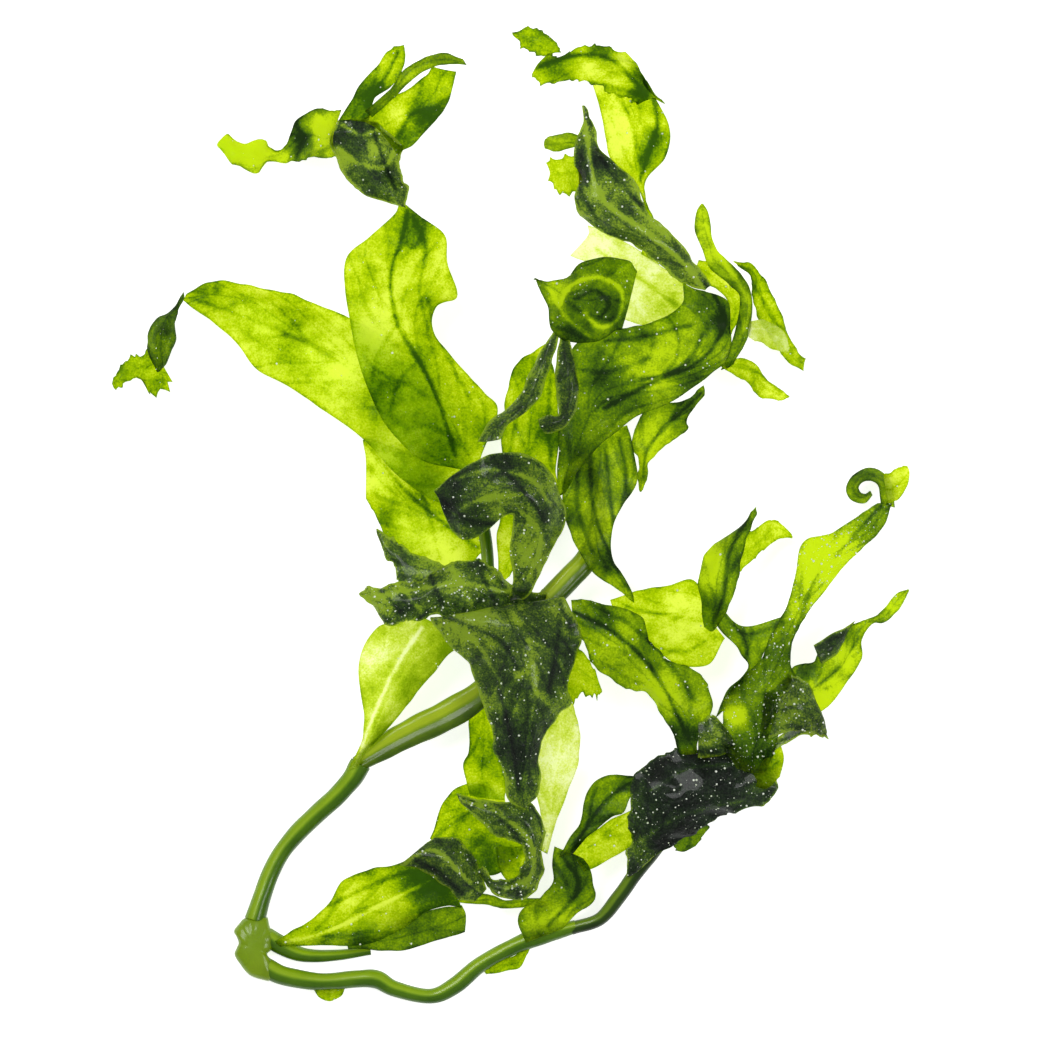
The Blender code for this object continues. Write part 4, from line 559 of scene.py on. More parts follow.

# The crown of the tall blade
# The tall blade narrows to a twist and opens again in a crown of small blades. They dried in the
# air while they grew, so they are torn, cupped and curled. Where they overlap they are dark from
# the light that passes through both and from painted shade.
blade("crown_cup", [
    ((-31, 88.3, 17.9), (-29.6, 88.7, 18), (-28.2, 88.5, 18.1)),
    ((-38.4, 90.6, 20.4), (-33, 92.4, 17.8), (-27.6, 94.2, 21.4)),
    ((-45, 95.4, 23), (-37.8, 97.8, 18.4), (-30.6, 99, 23.8)),
    ((-49.2, 101.4, 23.4), (-39.6, 103.8, 19), (-29.1, 104.4, 23.6)),
    ((-50.1, 107.4, 23.2), (-41.4, 109.2, 19.6), (-31.8, 108.9, 23.2)),
    ((-48.6, 113.4, 22.4), (-43.2, 113.7, 20.6), (-36.6, 112.8, 22.6))],
    dark_blade, ruffle=1.2, wave=6, teeth=0.7, grains=0.8,
    painted_shading_spots=[(-44.4, 111, 5.4, 0.2), (-37.5, 105, 3, -0.3), (-34.5, 112.5, 3.6, -0.18),
           (-33, 97.5, 4.2, 0.25), (-46.5, 102, 3, -0.18)],
    lines=[(-0.5, [(-48.6, 105), (-42, 100.5), (-34.5, 99.6), (-31.2, 105)]),
           (-0.5, [(-47.1, 112.2), (-41.4, 109.2), (-36, 111)]),
           (0.4, [(-38.4, 114), (-36, 105), (-31.2, 93)])])
blade("crown_upper_blade", [
    ((-47.8, 114.2, 22.2), (-44.2, 114.6, 21.4), (-39.4, 114.2, 22.4)),
    ((-44.4, 119.4, 23), (-41.4, 118.8, 22.4), (-37.5, 120, 23.6)),
    ((-41.4, 124.5, 24.4), (-37.5, 123, 24), (-33, 123, 25.4)),
    ((-37.2, 129, 25), (-33.6, 127.2, 25.4), (-30, 126.9, 26.4)),
    ((-34.5, 132.9, 24.4), (-31.5, 131.4, 25.6), (-28.2, 131.1, 26)),
    ((-31.8, 135.6, 23.6), (-30.3, 135.6, 24), (-28.8, 135.9, 24.2))],
    thin_blade, ruffle=0.7, wave=7, teeth=0.5, tone=0.3,
    painted_shading_spots=[(-37.5, 120, 4.8, 0.55), (-34.5, 132, 5.4, -0.2), (-44.4, 117.6, 3.6, 0.3)],
    lines=[(0.4, [(-30.6, 133.5), (-34.5, 126), (-39.6, 118.2)])])
blade("crown_left_ribbon", [
    ((-48.6, 116.7, 22), (-50.9, 108.6, 22.6), (-50.3, 102.6, 22.9)),
    ((-55.8, 116.4, 18.3), (-57, 108.6, 15.5), (-58.2, 102.3, 17.5)),
    ((-60.6, 113.1, 13.8), (-60.9, 107.4, 12.3), (-61.8, 101.4, 13.2)),
    ((-65.4, 104.4, 9.6), (-66.3, 103.5, 9.3), (-67.2, 101.4, 9.8)),
    ((-70.8, 107.4, 6.6), (-71.4, 102.9, 5.4), (-72, 98.4, 6.4)),
    ((-76.5, 107.1, 3.4), (-77.1, 103.5, 2.2), (-78, 99.6, 3.2)),
    ((-81, 110.1, 1.4), (-82.2, 105.9, 0.8), (-81.6, 102, 1)),
    ((-84.3, 107.7, 0.3), (-84.9, 106.5, 0.3), (-84, 105.3, 0.3))],
    olive_blade, ruffle=1.2, wave=6, teeth=0.7, grains=0.4,
    painted_shading_spots=[(-52.2, 109.8, 4.8, -0.6), (-59.1, 108, 4.2, 0.7), (-64.5, 103.5, 2.7, -0.2),
           (-75, 103.5, 7.2, -0.65), (-81.6, 106.5, 3.6, -0.6)],
    lines=[(0.4, [(-61.2, 112.8), (-58.8, 108), (-61.2, 102)]),
           (-0.3, [(-54.6, 116.4), (-55.2, 103.2)])])
blade("crown_right_blade", [
    ((-40.2, 114.3, 22.8), (-34.8, 111, 22.8), (-29.4, 103.8, 23)),
    ((-33, 119.7, 21.6), (-29.1, 114.6, 20.6), (-25.2, 107.4, 21.8)),
    ((-27.9, 122.4, 21), (-23.4, 118.2, 19.4), (-18, 114.6, 21)),
    ((-22.8, 126, 20.8), (-18.9, 123, 19.2), (-14.7, 120.9, 20.4)),
    ((-20.4, 129.6, 21), (-16.8, 128.7, 20.2), (-13.2, 128.1, 20.6))],
    thin_blade, ruffle=0.8, wave=6, teeth=0.6, tone=0.15,
    painted_shading_spots=[(-22.5, 114, 4.2, 0.7), (-28.5, 108, 3.6, 0.6), (-30, 115.5, 3.6, -0.3), (-18, 123, 4.8, -0.1)],
    lines=[(0.5, [(-30.6, 108), (-26.4, 115.2), (-18, 117)])])
blade("crown_top_ribbon", [
    ((-39.4, 117, 23.9), (-38.2, 116.2, 23.9), (-37.2, 115.2, 23.7)),
    ((-33, 122.4, 27.8), (-32.1, 121.5, 28.2), (-30.9, 120.6, 27.8)),
    ((-28.5, 128.4, 28.8), (-27.6, 126.6, 29.4), (-26.7, 125.1, 28.8)),
    ((-22.5, 132, 29), (-21.9, 130.2, 29.8), (-21.3, 128.7, 29)),
    ((-16.5, 133.5, 28.4), (-15.6, 132, 29.2), (-15, 130.2, 28.4)),
    ((-11.1, 131.7, 27.4), (-10.5, 130.8, 27.6), (-9.9, 129.9, 27.4))],
    olive_blade, ruffle=0.5, wave=5, teeth=0.3, tone=0.15, tip_tone=-0.2)

# The top right blades
# A dark ribbon climbs from the olive blade. A thin bright blade stands behind it, and its end
# bends over to the left in a crest that is toothed like an oak leaf.
blade("dark_upper_ribbon", [
    ((60, 63, 25.6), (61.2, 64.2, 25.8), (62.4, 65.1, 26)),
    ((54, 65.1, 28), (57.6, 67.2, 29.6), (59.4, 69, 28.6)),
    ((46.5, 71.4, 31), (51.6, 73.2, 33.6), (55.2, 75, 32)),
    ((37.5, 76.8, 33.6), (43.5, 78, 36.6), (48.6, 81.6, 34.4)),
    ((25.2, 82.8, 35.2), (36, 83.4, 38.8), (43.5, 86.4, 36)),
    ((23.1, 88.2, 35.8), (30.6, 88.2, 39.6), (42.6, 88.5, 36)),
    ((23.1, 96, 35.2), (28.8, 94.8, 38.6), (39.6, 95.4, 35.4)),
    ((21.9, 102, 34.6), (27, 101.4, 37.2), (32.7, 102, 34.6)),
    ((23.4, 108, 34), (26.1, 107.1, 35.4), (29.4, 105.9, 34)),
    ((24.9, 113.4, 33.2), (26.4, 112.8, 33.8), (27.9, 111.9, 33.2)),
    ((24.6, 117.6, 32.4), (25.2, 117.6, 32.6), (25.8, 116.7, 32.4))],
    dark_blade, ruffle=1.2, wave=8, teeth=0.6, grains=0.8,
    painted_shading_spots=[(29.4, 100.5, 4.2, 0.15), (39, 85.5, 4.8, 0.1), (42, 94.5, 3.6, -0.24), (27, 90, 3.6, -0.21),
           (49.5, 76.5, 4.8, -0.18), (57, 67.5, 4.2, -0.21), (33, 96, 3, -0.12)],
    lines=[(0.3, [(24.6, 105), (24, 93), (28.8, 84)]),
           (-0.3, [(33, 98.4), (39.6, 88.5), (50.4, 78)]),
           (-0.6, [(25.5, 112.5), (27, 100.5), (30.6, 89.4), (42, 81), (54, 71.4), (60.6, 63.6)]),
           (0.4, [(30, 102), (36.6, 93), (45, 85.5)])])
blade("side_curl", [
    ((23.4, 105.6, 34.2), (24, 106.8, 34.2), (24, 108.6, 34)),
    ((19.5, 104.4, 32.2), (19.8, 107.1, 34), (19.8, 109.8, 32.2)),
    ((15.9, 104.1, 30.6), (15.6, 106.5, 32.4), (15.6, 108.9, 30.6)),
    ((13.5, 105, 29.4), (13.2, 106.2, 30), (13.5, 107.7, 29.6))],
    olive_blade, ruffle=0.5, wave=5, teeth=0.5, slot="green_blade")
blade("star_flap", [
    ((24, 102.6, 35), (24.6, 98.4, 35.4), (24, 93, 35.2)),
    ((18, 101.7, 30.6), (19.2, 97.5, 30), (18.6, 92.4, 30.4)),
    ((13.8, 100.8, 27.6), (15, 97.8, 27.4), (14.4, 95.1, 27.6))],
    thin_blade, ruffle=0.6, wave=5, teeth=1.2, tooth=2.6, slot="light_blade")
blade("top_blade", [
    ((42.4, 74.8, 24.9), (45, 73.2, 24.6), (47.4, 71.6, 24.4)),
    ((43.8, 82.2, 23), (45.6, 82.8, 22.6), (46.8, 80.4, 23)),
    ((42, 91.5, 23.6), (43.5, 89.4, 22.4), (44.1, 87.6, 23.2)),
    ((38.4, 96, 25), (42, 95.4, 23), (44.1, 95.4, 24.6)),
    ((33.6, 100.5, 26.2), (40.5, 100.5, 23.4), (49.2, 102, 25.8)),
    ((31.5, 107.4, 26.6), (40.8, 107.1, 23.8), (51, 109.2, 26.6)),
    ((30.3, 116.4, 26.6), (40.2, 114, 24.4), (49.8, 114, 26.8)),
    ((27, 126, 26.4), (37.5, 120.6, 25.2), (46.5, 120, 26.6))],
    thin_blade, ruffle=0.8, wave=10, teeth=0.3,
    painted_shading_spots=[(42, 117, 4.2, 0.15), (46.5, 108, 4.8, 0.45), (34.5, 111, 6.6, -0.3), (37.5, 123, 4.8, -0.2),
           (43.5, 102, 3.6, 0.5), (33, 99, 3, 0.3)],
    lines=[(0.5, [(45.6, 120.6), (47.1, 111.6), (44.1, 102.6), (42, 95.4)]),
           (0.25, [(36, 121.5), (39.6, 111), (42, 100.5)])])
blade("crest", [
    ((40.2, 118.8, 27), (45, 120.8, 27.3), (48, 119.4, 27.4)),
    ((39, 121.2, 30.4), (42.6, 126, 33), (44.7, 122.7, 30.8)),
    ((33.6, 121.8, 31), (38.4, 129.6, 34.6), (40.5, 128.7, 31.4)),
    ((29.4, 123.6, 31), (33, 130.2, 34.8), (35.7, 132.9, 31.4)),
    ((24, 125.4, 30), (27.6, 131.4, 33.4), (30.3, 135.3, 30.6)),
    ((18, 124.8, 28.4), (21, 130.2, 31.4), (24, 134.7, 29.2)),
    ((12, 125.4, 26.8), (14.7, 129.6, 29), (17.4, 132, 27.6)),
    ((9.6, 127.2, 25.8), (11.4, 130.2, 26.6), (13.8, 132.6, 26.2))],
    thin_blade, ruffle=0.9, wave=7, teeth=1.15, tooth=3.8, tone=0.15,
    painted_shading_spots=[(18, 131.4, 4.8, 0.35), (30, 135, 4.2, 0.45), (27, 128.4, 4.8, -0.35),
           (36.6, 123.6, 4.2, -0.3), (43.5, 126, 4.2, 0.3), (42, 120.6, 3, 0.5), (37.5, 131.4, 3.6, -0.4)],
    lines=[(0.5, [(12, 129.6), (23.4, 132.6), (33, 131.4), (42, 123)]),
           (0.4, [(27, 124.2), (34.5, 123), (43.5, 120.6)])])
blade("oak_tip", [
    ((13.6, 133.3, 26.1), (15.4, 134.3, 26.6), (17.4, 134.7, 26.9)),
    ((10.2, 134.4, 24.4), (12.3, 136.5, 25), (14.1, 139.5, 24.4)),
    ((6.6, 136.2, 23.4), (8.1, 138, 23.8), (9, 140.7, 23.4)),
    ((5.4, 137.7, 22.6), (3.9, 138.9, 22.8), (3.6, 139.8, 22.6))],
    thin_blade, ruffle=0.5, wave=5, teeth=1.15, tooth=2.8, tone=0.15)

# The broad blades at the upper right
# The widest blade folds back on itself on the right. Others stand behind it and beside it, and a
# curled leaf bends over its upper end. Slim blades leave it on the right like fingers.
blade("olive_blade", [
    ((17.2, 3.4, 20), (18.6, 3, 19.9), (20.4, 3.6, 20)),
    ((17.4, 18, 23), (23.4, 18, 22.2), (27, 13.5, 22.7)),
    ((18, 33, 25), (30, 31.2, 23.2), (40.5, 24.6, 23.3)),
    ((21.6, 45, 26.7), (36.6, 34.5, 24.3), (49.5, 28.5, 24.1)),
    ((30, 49.8, 27.7), (45.6, 36.6, 25.2), (57, 33, 24.6)),
    ((38.4, 51.6, 28.1), (54.6, 40.2, 25.8), (63.6, 38.1, 24.7)),
    ((45, 52.8, 27.9), (61.8, 45.6, 25.9), (68.4, 42.9, 24.2)),
    ((50.4, 55.2, 27.3), (65.4, 52.5, 25), (68.7, 51.6, 23.4)),
    ((54.6, 59.4, 26.5), (63.3, 59.4, 24.6), (68.1, 59.4, 23.3)),
    ((54.9, 64.8, 25.7), (57.6, 63.3, 25.3), (61.2, 62.4, 24.7))],
    olive_blade, ruffle=0.9, wave=13, teeth=0.3, grains=0.4,
    painted_shading_spots=[(51, 45, 10.8, -0.25), (66, 54, 3.6, 0.6), (57, 35.4, 6, 0.5), (42, 49.5, 4.2, 0.45),
           (30, 36, 7.2, 0.45), (22.5, 21, 7.2, 0.5), (39, 30, 6, 0.25), (61.5, 60, 4.2, 0.4)],
    lines=[(0.6, [(63.6, 62.4), (66.6, 54.6), (64.2, 46.5), (57.6, 40.2), (45, 34.8), (31.5, 27.6)]),
           (0.5, [(60.6, 49.5), (57, 42.6), (50.4, 37.8), (42, 36)]),
           (0.4, [(31.2, 47.4), (42, 48.6), (57, 52.2)]),
           (0.3, [(22.5, 39), (33, 38.4), (45, 42.6)])])
blade("striped_blade", [
    ((22.5, 14.4, 16.5), (29.4, 18, 16.2), (38.4, 21, 18)),
    ((19.2, 6, 18.6), (30, 11.4, 16.9), (40.2, 14.4, 18.8)),
    ((18.6, 0.9, 19.2), (29.4, 4.5, 17.8), (41.1, 5.4, 19.6)),
    ((19.2, -4.5, 19.6), (27.6, -2.4, 18.4), (36.6, -1.5, 20)),
    ((21, -9.6, 20), (27.6, -9, 18.8), (33.3, -9.6, 20)),
    ((23.4, -15, 20), (29.1, -15.6, 19.2), (33.6, -16.8, 19.8)),
    ((26.4, -20.1, 19), (32.7, -20.4, 18.4), (36.3, -21.6, 18)),
    ((31.2, -24.6, 16.4), (36.9, -25.5, 15.6), (39.6, -27.6, 14.8)),
    ((37.2, -27.9, 13.2), (38.4, -29.4, 12.8), (40.2, -30.6, 12.4))],
    olive_blade, ruffle=0.5, wave=9, teeth=0.2,
    painted_shading_spots=[(24, 9, 6, 0.5), (37.5, 9, 4.2, -0.1), (22.5, -6, 4.2, 0.3), (33.6, -18, 4.2, 0.45),
           (30, 0, 4.2, -0.1)],
    lines=[(0.45, [(27, 15), (27.6, 0), (31.5, -13.5), (37.5, -25.5)]),
           (0.45, [(31.5, 15.9), (33, 1.5), (34.8, -12), (38.7, -26.4)]),
           (0.45, [(35.7, 18), (37.8, 6), (35.7, -6), (34.8, -18)]),
           (0.35, [(23.1, 9), (23.4, -3), (27.6, -15.6)]),
           (0.3, [(39.6, 18), (40.2, 9), (37.8, -1.5)])])
blade("cup_blade", [
    ((41.6, 4.4, 18.9), (42.2, 3.6, 18.7), (43.2, 4.6, 18.7)),
    ((41.6, 10.5, 16.8), (42.9, 9.6, 14.8), (44.7, 9.9, 16.4)),
    ((39.9, 15, 15.4), (45, 15.3, 13.2), (48, 15, 15.6)),
    ((40.5, 22.5, 16.4), (48, 21, 14.2), (52.5, 18, 16.8)),
    ((45.6, 28.8, 17.6), (52.5, 24.6, 15.6), (55.8, 21, 18)),
    ((54.6, 29.4, 18.6), (56.4, 26.4, 17.4), (55.8, 23.4, 19)),
    ((60.9, 34.2, 19.6), (61.2, 33, 19.4), (61.2, 31.2, 19.6))],
    olive_blade, ruffle=0.8, wave=7, teeth=0.6,
    painted_shading_spots=[(45, 12, 5, -0.45), (56, 27, 5, 0.3)],
    lines=[(0.5, [(42.9, 6.6), (44.4, 15.6), (51.6, 24), (60, 31.8)])])
blade("back_blade", [
    ((-0.6, -21.6, 13.6), (1.5, -22.8, 13.4), (3.6, -21.6, 13.6)),
    ((-0.9, -12.6, 14.4), (4.5, -14.1, 14), (7.8, -13.5, 14.4)),
    ((0.3, -1.5, 15), (12, -0.6, 13.2), (16.6, 0, 15)),
    ((1.5, 9, 16.2), (9, 9, 13.8), (16.8, 9, 16)),
    ((0.3, 18, 18.4), (9, 18, 14.8), (17.4, 18, 17)),
    ((1.2, 27, 19.8), (9, 27, 16.4), (17.4, 27, 18.4)),
    ((2.4, 33.6, 20.8), (9, 34.5, 18.6), (16.8, 34.5, 20.4)),
    ((6, 41.4, 22.4), (10.5, 41.4, 21), (15.6, 41.4, 22.4)),
    ((13.5, 46.5, 24.4), (14.4, 46.2, 24.2), (15.6, 45.6, 24.4))],
    thin_blade, ruffle=0.7, wave=8, teeth=0.3,
    painted_shading_spots=[(9, 36, 7.2, 0.35), (13.5, 21, 6, 0.5), (4.5, 6, 6, 0.3), (3.6, 30, 3.6, -0.2)],
    lines=[(0.3, [(11.4, 41.4), (6.6, 30), (3.6, 18), (1.8, 6)]),
           (0.4, [(15.6, 42), (14.4, 24), (15.6, 9)])])
blade("curled_leaf", [
    ((11.4, 65.7, 29.4), (11.7, 65.4, 29.6), (12, 62.7, 29.4)),
    ((15.6, 65.4, 30.6), (16.8, 62.4, 32.2), (14.4, 57.3, 30.6)),
    ((19.8, 66.6, 32), (20.1, 60, 35.2), (15.9, 50.7, 31.4)),
    ((24.9, 71.1, 32.4), (24, 60, 36.8), (19.2, 47.4, 31)),
    ((31.5, 72.6, 31.6), (30, 60.6, 36.4), (27, 46.8, 31)),
    ((37.5, 71.4, 28.4), (36, 61.2, 33), (33.6, 50.1, 30.4)),
    ((40.8, 68.4, 26.8), (39, 60.6, 30), (36.6, 51, 29.2))],
    olive_blade, ruffle=0.8, wave=8, teeth=0.5, grains=0.6, tone=0.1,
    painted_shading_spots=[(30, 60, 6.6, 0.25), (21, 63, 4.8, -0.15), (34.5, 54, 4.2, 0.4), (22.5, 49.5, 4.2, 0.45),
           (16.5, 62.4, 3.6, -0.3)],
    lines=[(-0.6, [(18, 58.5), (21.6, 64.2), (29.4, 66.3), (36, 62.4), (35.4, 54.6), (30, 51.6),
            (25.2, 55.8)]),
           (-0.4, [(15, 63), (19.8, 54.6), (26.4, 49.2)]),
           (0.5, [(22.5, 60), (28.5, 62.4), (32.4, 58.5), (30, 54.6)])])
blade("yellow_fold", [
    ((27.6, 81.6, 24.9), (27.3, 78, 23.9), (22.2, 72.3, 24.3)),
    ((31.5, 80.4, 25.3), (31.8, 74.4, 23.1), (30, 68.4, 23.7)),
    ((42, 74.1, 25.1), (39, 67.5, 22.5), (35.4, 56.4, 22.9)),
    ((48.6, 69.6, 24.3), (45.6, 63, 22.1), (40.2, 52.8, 22.3)),
    ((56.4, 63.6, 24.6), (55.2, 58.2, 23.2), (52.8, 51, 24.2))],
    pale_blade, ruffle=0.5, wave=9, teeth=0.2,
    painted_shading_spots=[(50, 60, 5, 0.3)],
    lines=[(0.35, [(28.8, 75), (42, 66), (52.8, 58.2)])])
blade("vertical_curl", [
    ((18.2, 49.4, 30), (19.4, 49, 30), (20.6, 49.4, 30)),
    ((16.8, 41.4, 33), (20.1, 40.8, 34.6), (21.9, 42, 33)),
    ((16.8, 36, 33.6), (21, 36, 35.6), (23.4, 36, 33.4)),
    ((17.1, 30, 33.6), (21, 30, 35.2), (23.1, 30, 33.2)),
    ((17.4, 25.2, 32.8), (19.2, 24.6, 34.4), (21.3, 24, 32.8)),
    ((14.4, 25.4, 32), (15.6, 22.8, 34), (16.8, 20.4, 32)),
    ((11.4, 24, 31), (12, 21.9, 32.6), (13.5, 19.8, 31))],
    dark_blade, ruffle=0.4, wave=6, teeth=0.3, grains=0.8)
blade("ribbon_finger", [
    ((66.6, 40.2, 23.2), (68.7, 40.8, 23.6), (70.5, 42, 23.2)),
    ((70.5, 51, 24.3), (72.6, 50.4, 25), (74.4, 49.5, 24.2)),
    ((71.7, 60, 25.1), (73.5, 60, 25.7), (75.3, 60, 24.8)),
    ((68.7, 64.2, 25.8), (70.5, 65.7, 26.3), (72.3, 67.2, 25.3)),
    ((62.7, 69.6, 26.5), (64.2, 71.4, 27), (66, 72.9, 26.1)),
    ((60.3, 75.3, 27), (61.8, 76.5, 27.4), (63.6, 77.7, 26.8)),
    ((58.2, 80.7, 27.3), (60.3, 81.6, 27.5), (63, 82.5, 27.1)),
    ((58.8, 85.8, 27.2), (60.3, 86.1, 27.3), (62.1, 86.1, 27.1)),
    ((59.7, 87.9, 27), (60.3, 88.5, 27), (60.9, 88.2, 27))],
    olive_blade, ruffle=0.5, wave=7, teeth=0.2, tone=0.2, tip_tone=-0.4,
    lines=[(-0.4, [(61.2, 82.2), (66.6, 71.4), (74.1, 60), (72.6, 49.8)])])
blade("inner_finger", [
    ((69.6, 50.4, 22.6), (68.9, 51.6, 22.6), (68.2, 53.4, 22.8)),
    ((72.6, 57, 20.8), (70.2, 57.6, 19.6), (67.8, 59.1, 20.4)),
    ((70.5, 64.8, 20.4), (67.8, 63.6, 19), (64.8, 63, 19.8)),
    ((64.8, 70.8, 21), (63, 67.8, 20), (61.2, 65.1, 20.8)),
    ((59.4, 71.7, 22), (58.8, 69.9, 21.8), (58.2, 67.8, 22))],
    thin_blade, ruffle=0.5, wave=6, teeth=0.4, slot="light_blade")
blade("long_finger", [
    ((71, 71, 25.2), (71.6, 70.2, 25.2), (72, 69.2, 25.3)),
    ((75.6, 70.2, 22.4), (75.6, 68.4, 21), (75, 66.6, 22)),
    ((79.8, 64.2, 18.6), (78, 63, 17), (75.6, 61.2, 18.2)),
    ((83.4, 57, 14), (80.7, 55.8, 12.4), (78, 53.4, 13.6)),
    ((86.4, 49.2, 9), (84.3, 48.6, 7.6), (82.5, 47.1, 8.8)),
    ((89.1, 44.4, 5), (87.9, 42.9, 3.8), (85.8, 42, 5.2)),
    ((91.8, 42.9, 0.3), (91.2, 41.1, 0.3), (90.9, 38.7, 0.3))],
    thin_blade, ruffle=0.6, wave=6, teeth=0.7, tone=0.15,
    lines=[(0.3, [(72, 69.6), (78.6, 60), (87.6, 44.4)])])
blade("pale_finger", [
    ((76, 53.4, 24), (75.4, 51, 24), (75.2, 48.6, 23.8)),
    ((79.8, 53.1, 21.2), (78.9, 50.1, 20.4), (78, 47.1, 21)),
    ((84.9, 49.8, 18.4), (83.7, 47.4, 17.6), (82.2, 45, 18.2)),
    ((86.7, 45.6, 16.2), (86.4, 45, 16.2), (86.1, 44.1, 16.2))],
    pale_blade, ruffle=0.5, wave=6, teeth=0.7, slot="light_blade")
blade("low_finger", [
    ((67.6, 41, 23.9), (67.4, 40.2, 23.7), (67.2, 39.2, 23.9)),
    ((72.6, 42.2, 21.4), (72.3, 40.2, 20.4), (71.4, 36.3, 21.2)),
    ((77.1, 40.2, 18.1), (76.2, 38.4, 17.1), (75, 34.8, 17.9)),
    ((80.4, 35.4, 14.9), (79.5, 34.2, 14.1), (78.3, 30.9, 14.7)),
    ((84, 33.3, 12.6), (83.7, 31.8, 12), (83.4, 29.7, 12.4)),
    ((86.4, 31.2, 11), (86.7, 30.9, 11), (86.1, 30.6, 11))],
    thin_blade, ruffle=0.7, wave=6, teeth=0.7,
    lines=[(0.3, [(67.8, 40.2), (76.2, 38.4), (84, 32.4)])])

# The dark blades in front of the middle
# These are the thickest and darkest blades. They curl over and hang in front of the stems, and
# wet faces that turn to the light shine, with painted highlights along their creases.
blade("strap", [
    ((16.2, 50.6, 30.8), (17, 50, 30.5), (17.8, 49.2, 30.3)),
    ((10.5, 41.4, 30.6), (12.6, 39.9, 32.4), (14.7, 39.6, 30.8)),
    ((6.6, 32.1, 32.2), (9, 30.9, 34.2), (12, 31.2, 32.6)),
    ((0.9, 26.1, 33.8), (3.6, 25.5, 35.8), (7.5, 26.4, 34.2)),
    ((-3.9, 22.5, 35.2), (-0.9, 21, 37), (2.4, 22.5, 35.4)),
    ((-6.6, 17.4, 36.6), (-3.3, 17.4, 37.8), (0, 18, 36.6))],
    dark_blade, ruffle=0.5, wave=8, teeth=0.3, grains=1.0)
blade("head_curl", [
    ((-18.6, 3.6, 30.6), (-18, 1.5, 30.8), (-18, -0.6, 30.4)),
    ((-13.5, 7.8, 33.4), (-14.4, 0, 32.6), (-15.3, -8.4, 28.8)),
    ((-7.5, 11.4, 35.4), (-9, 0, 35.6), (-11.1, -11.4, 29)),
    ((0, 14.4, 35.8), (-1.5, 3, 38.6), (-4.5, -9.6, 30)),
    ((8.4, 13.5, 33.6), (4.5, 3, 39.4), (0, -5.4, 33)),
    ((15, 7.5, 31.4), (9.9, 0, 38.2), (3.9, -4.5, 34.2)),
    ((19.2, -2.4, 29.2), (12, -5.4, 36), (3.6, -9, 32.6)),
    ((18, -11.1, 28), (11.1, -13.5, 32.6), (3.3, -15, 30.6)),
    ((12.9, -19.5, 27), (8.4, -21, 29.8), (3.9, -21.9, 28.6)),
    ((9, -27.6, 26), (6, -27.6, 27.6), (3.6, -27, 26.8)),
    ((3.8, -30, 23.3), (3.1, -30, 23.2), (2.4, -29.2, 23.5))],
    dark_blade, ruffle=0.7, wave=9, teeth=0.5, grains=1.0,
    painted_shading_spots=[(9, -13.5, 7.8, -0.3), (-14.4, 0, 6, 0.4), (1.5, 11.4, 4.8, 0.3), (15.6, 3, 3.6, -0.18),
           (-3.6, 0, 5.4, -0.18), (-13.5, 6, 3, 0.2)],
    lines=[(0.4, [(-17.1, 0), (-9, -6), (1.5, -7.2)]),
           (0.35, [(-0.6, 10.2), (6.6, 3), (13.8, -6.6)]),
           (-0.3, [(-13.5, -4.2), (-6, 0), (6.6, 1.8)]),
           (-0.4, [(-14.4, 5.4), (-3, 9), (9, 6), (15, -1.5)]),
           (-0.3, [(6, -3), (12, -10.5), (9, -22.5)])])
blade("toothed_blade", [
    ((-16.5, -19.8, 21.9), (-19.2, -22.5, 22.5), (-24.6, -26.4, 22)),
    ((-22.5, -17.4, 19.4), (-25.5, -20.4, 20.6), (-29.4, -24.3, 19.4)),
    ((-27, -15, 18.4), (-29.4, -18.3, 19.6), (-31.5, -19.8, 18.6)),
    ((-32.4, -12, 17.2), (-33.6, -14.7, 18.2), (-34.2, -16.5, 17.6)),
    ((-36.9, -8.7, 16), (-36.9, -9.3, 16.2), (-36.6, -10.5, 16.2))],
    dark_blade, ruffle=0.8, wave=6, teeth=0.9, tooth=2.6, grains=0.8, tone=-0.12)
blade("crinkled_blade", [
    ((12.8, -27.6, 18.1), (12.4, -29.2, 18), (11.8, -30.8, 18)),
    ((6, -26.4, 21), (6.4, -28.8, 21.4), (6.8, -31.4, 20.6)),
    ((-3, -19.8, 22), (-2.4, -26.4, 24.2), (-1.5, -32.4, 22.2)),
    ((-11.4, -18, 22.8), (-11.4, -25.5, 26.2), (-11.4, -36, 23.6)),
    ((-18.6, -21, 23.4), (-18.6, -27, 26.8), (-20.4, -34.5, 24)),
    ((-25.5, -24.6, 23.6), (-24.9, -30, 26.4), (-26.4, -35.4, 23.6)),
    ((-31.5, -24.9, 23.2), (-30.6, -30.9, 25.4), (-31.2, -37.8, 23)),
    ((-36.6, -25.8, 22), (-35.7, -30.3, 23.6), (-34.8, -35.4, 21.8)),
    ((-40.2, -27, 20.8), (-39.9, -28.5, 21.4), (-39, -30.6, 20.8)),
    ((-42, -27.9, 20), (-42, -28.2, 20), (-41.7, -28.8, 20))],
    dark_blade, ruffle=1.4, wave=5, teeth=0.9, grains=2.0,
    painted_shading_spots=[(-36, -29.4, 5.4, -0.3), (-15, -24.6, 6, -0.21), (-1.5, -22.5, 4.8, -0.09),
           (-24, -30, 3.6, -0.12)],
    lines=[(0.45, [(-36, -26.4), (-29.4, -33.6)]),
           (-0.35, [(-30.6, -25.2), (-23.4, -33)]),
           (0.45, [(-21, -21.9), (-17.4, -31.2)]),
           (-0.35, [(-14.4, -20.4), (-8.4, -31.8)]),
           (0.4, [(-6, -21.6), (-1.2, -30.6)]),
           (-0.3, [(0.6, -23.4), (6.6, -30.6)]),
           (-0.4, [(-39, -29.4), (-27, -27), (-12, -25.2), (3.6, -27.6)])])
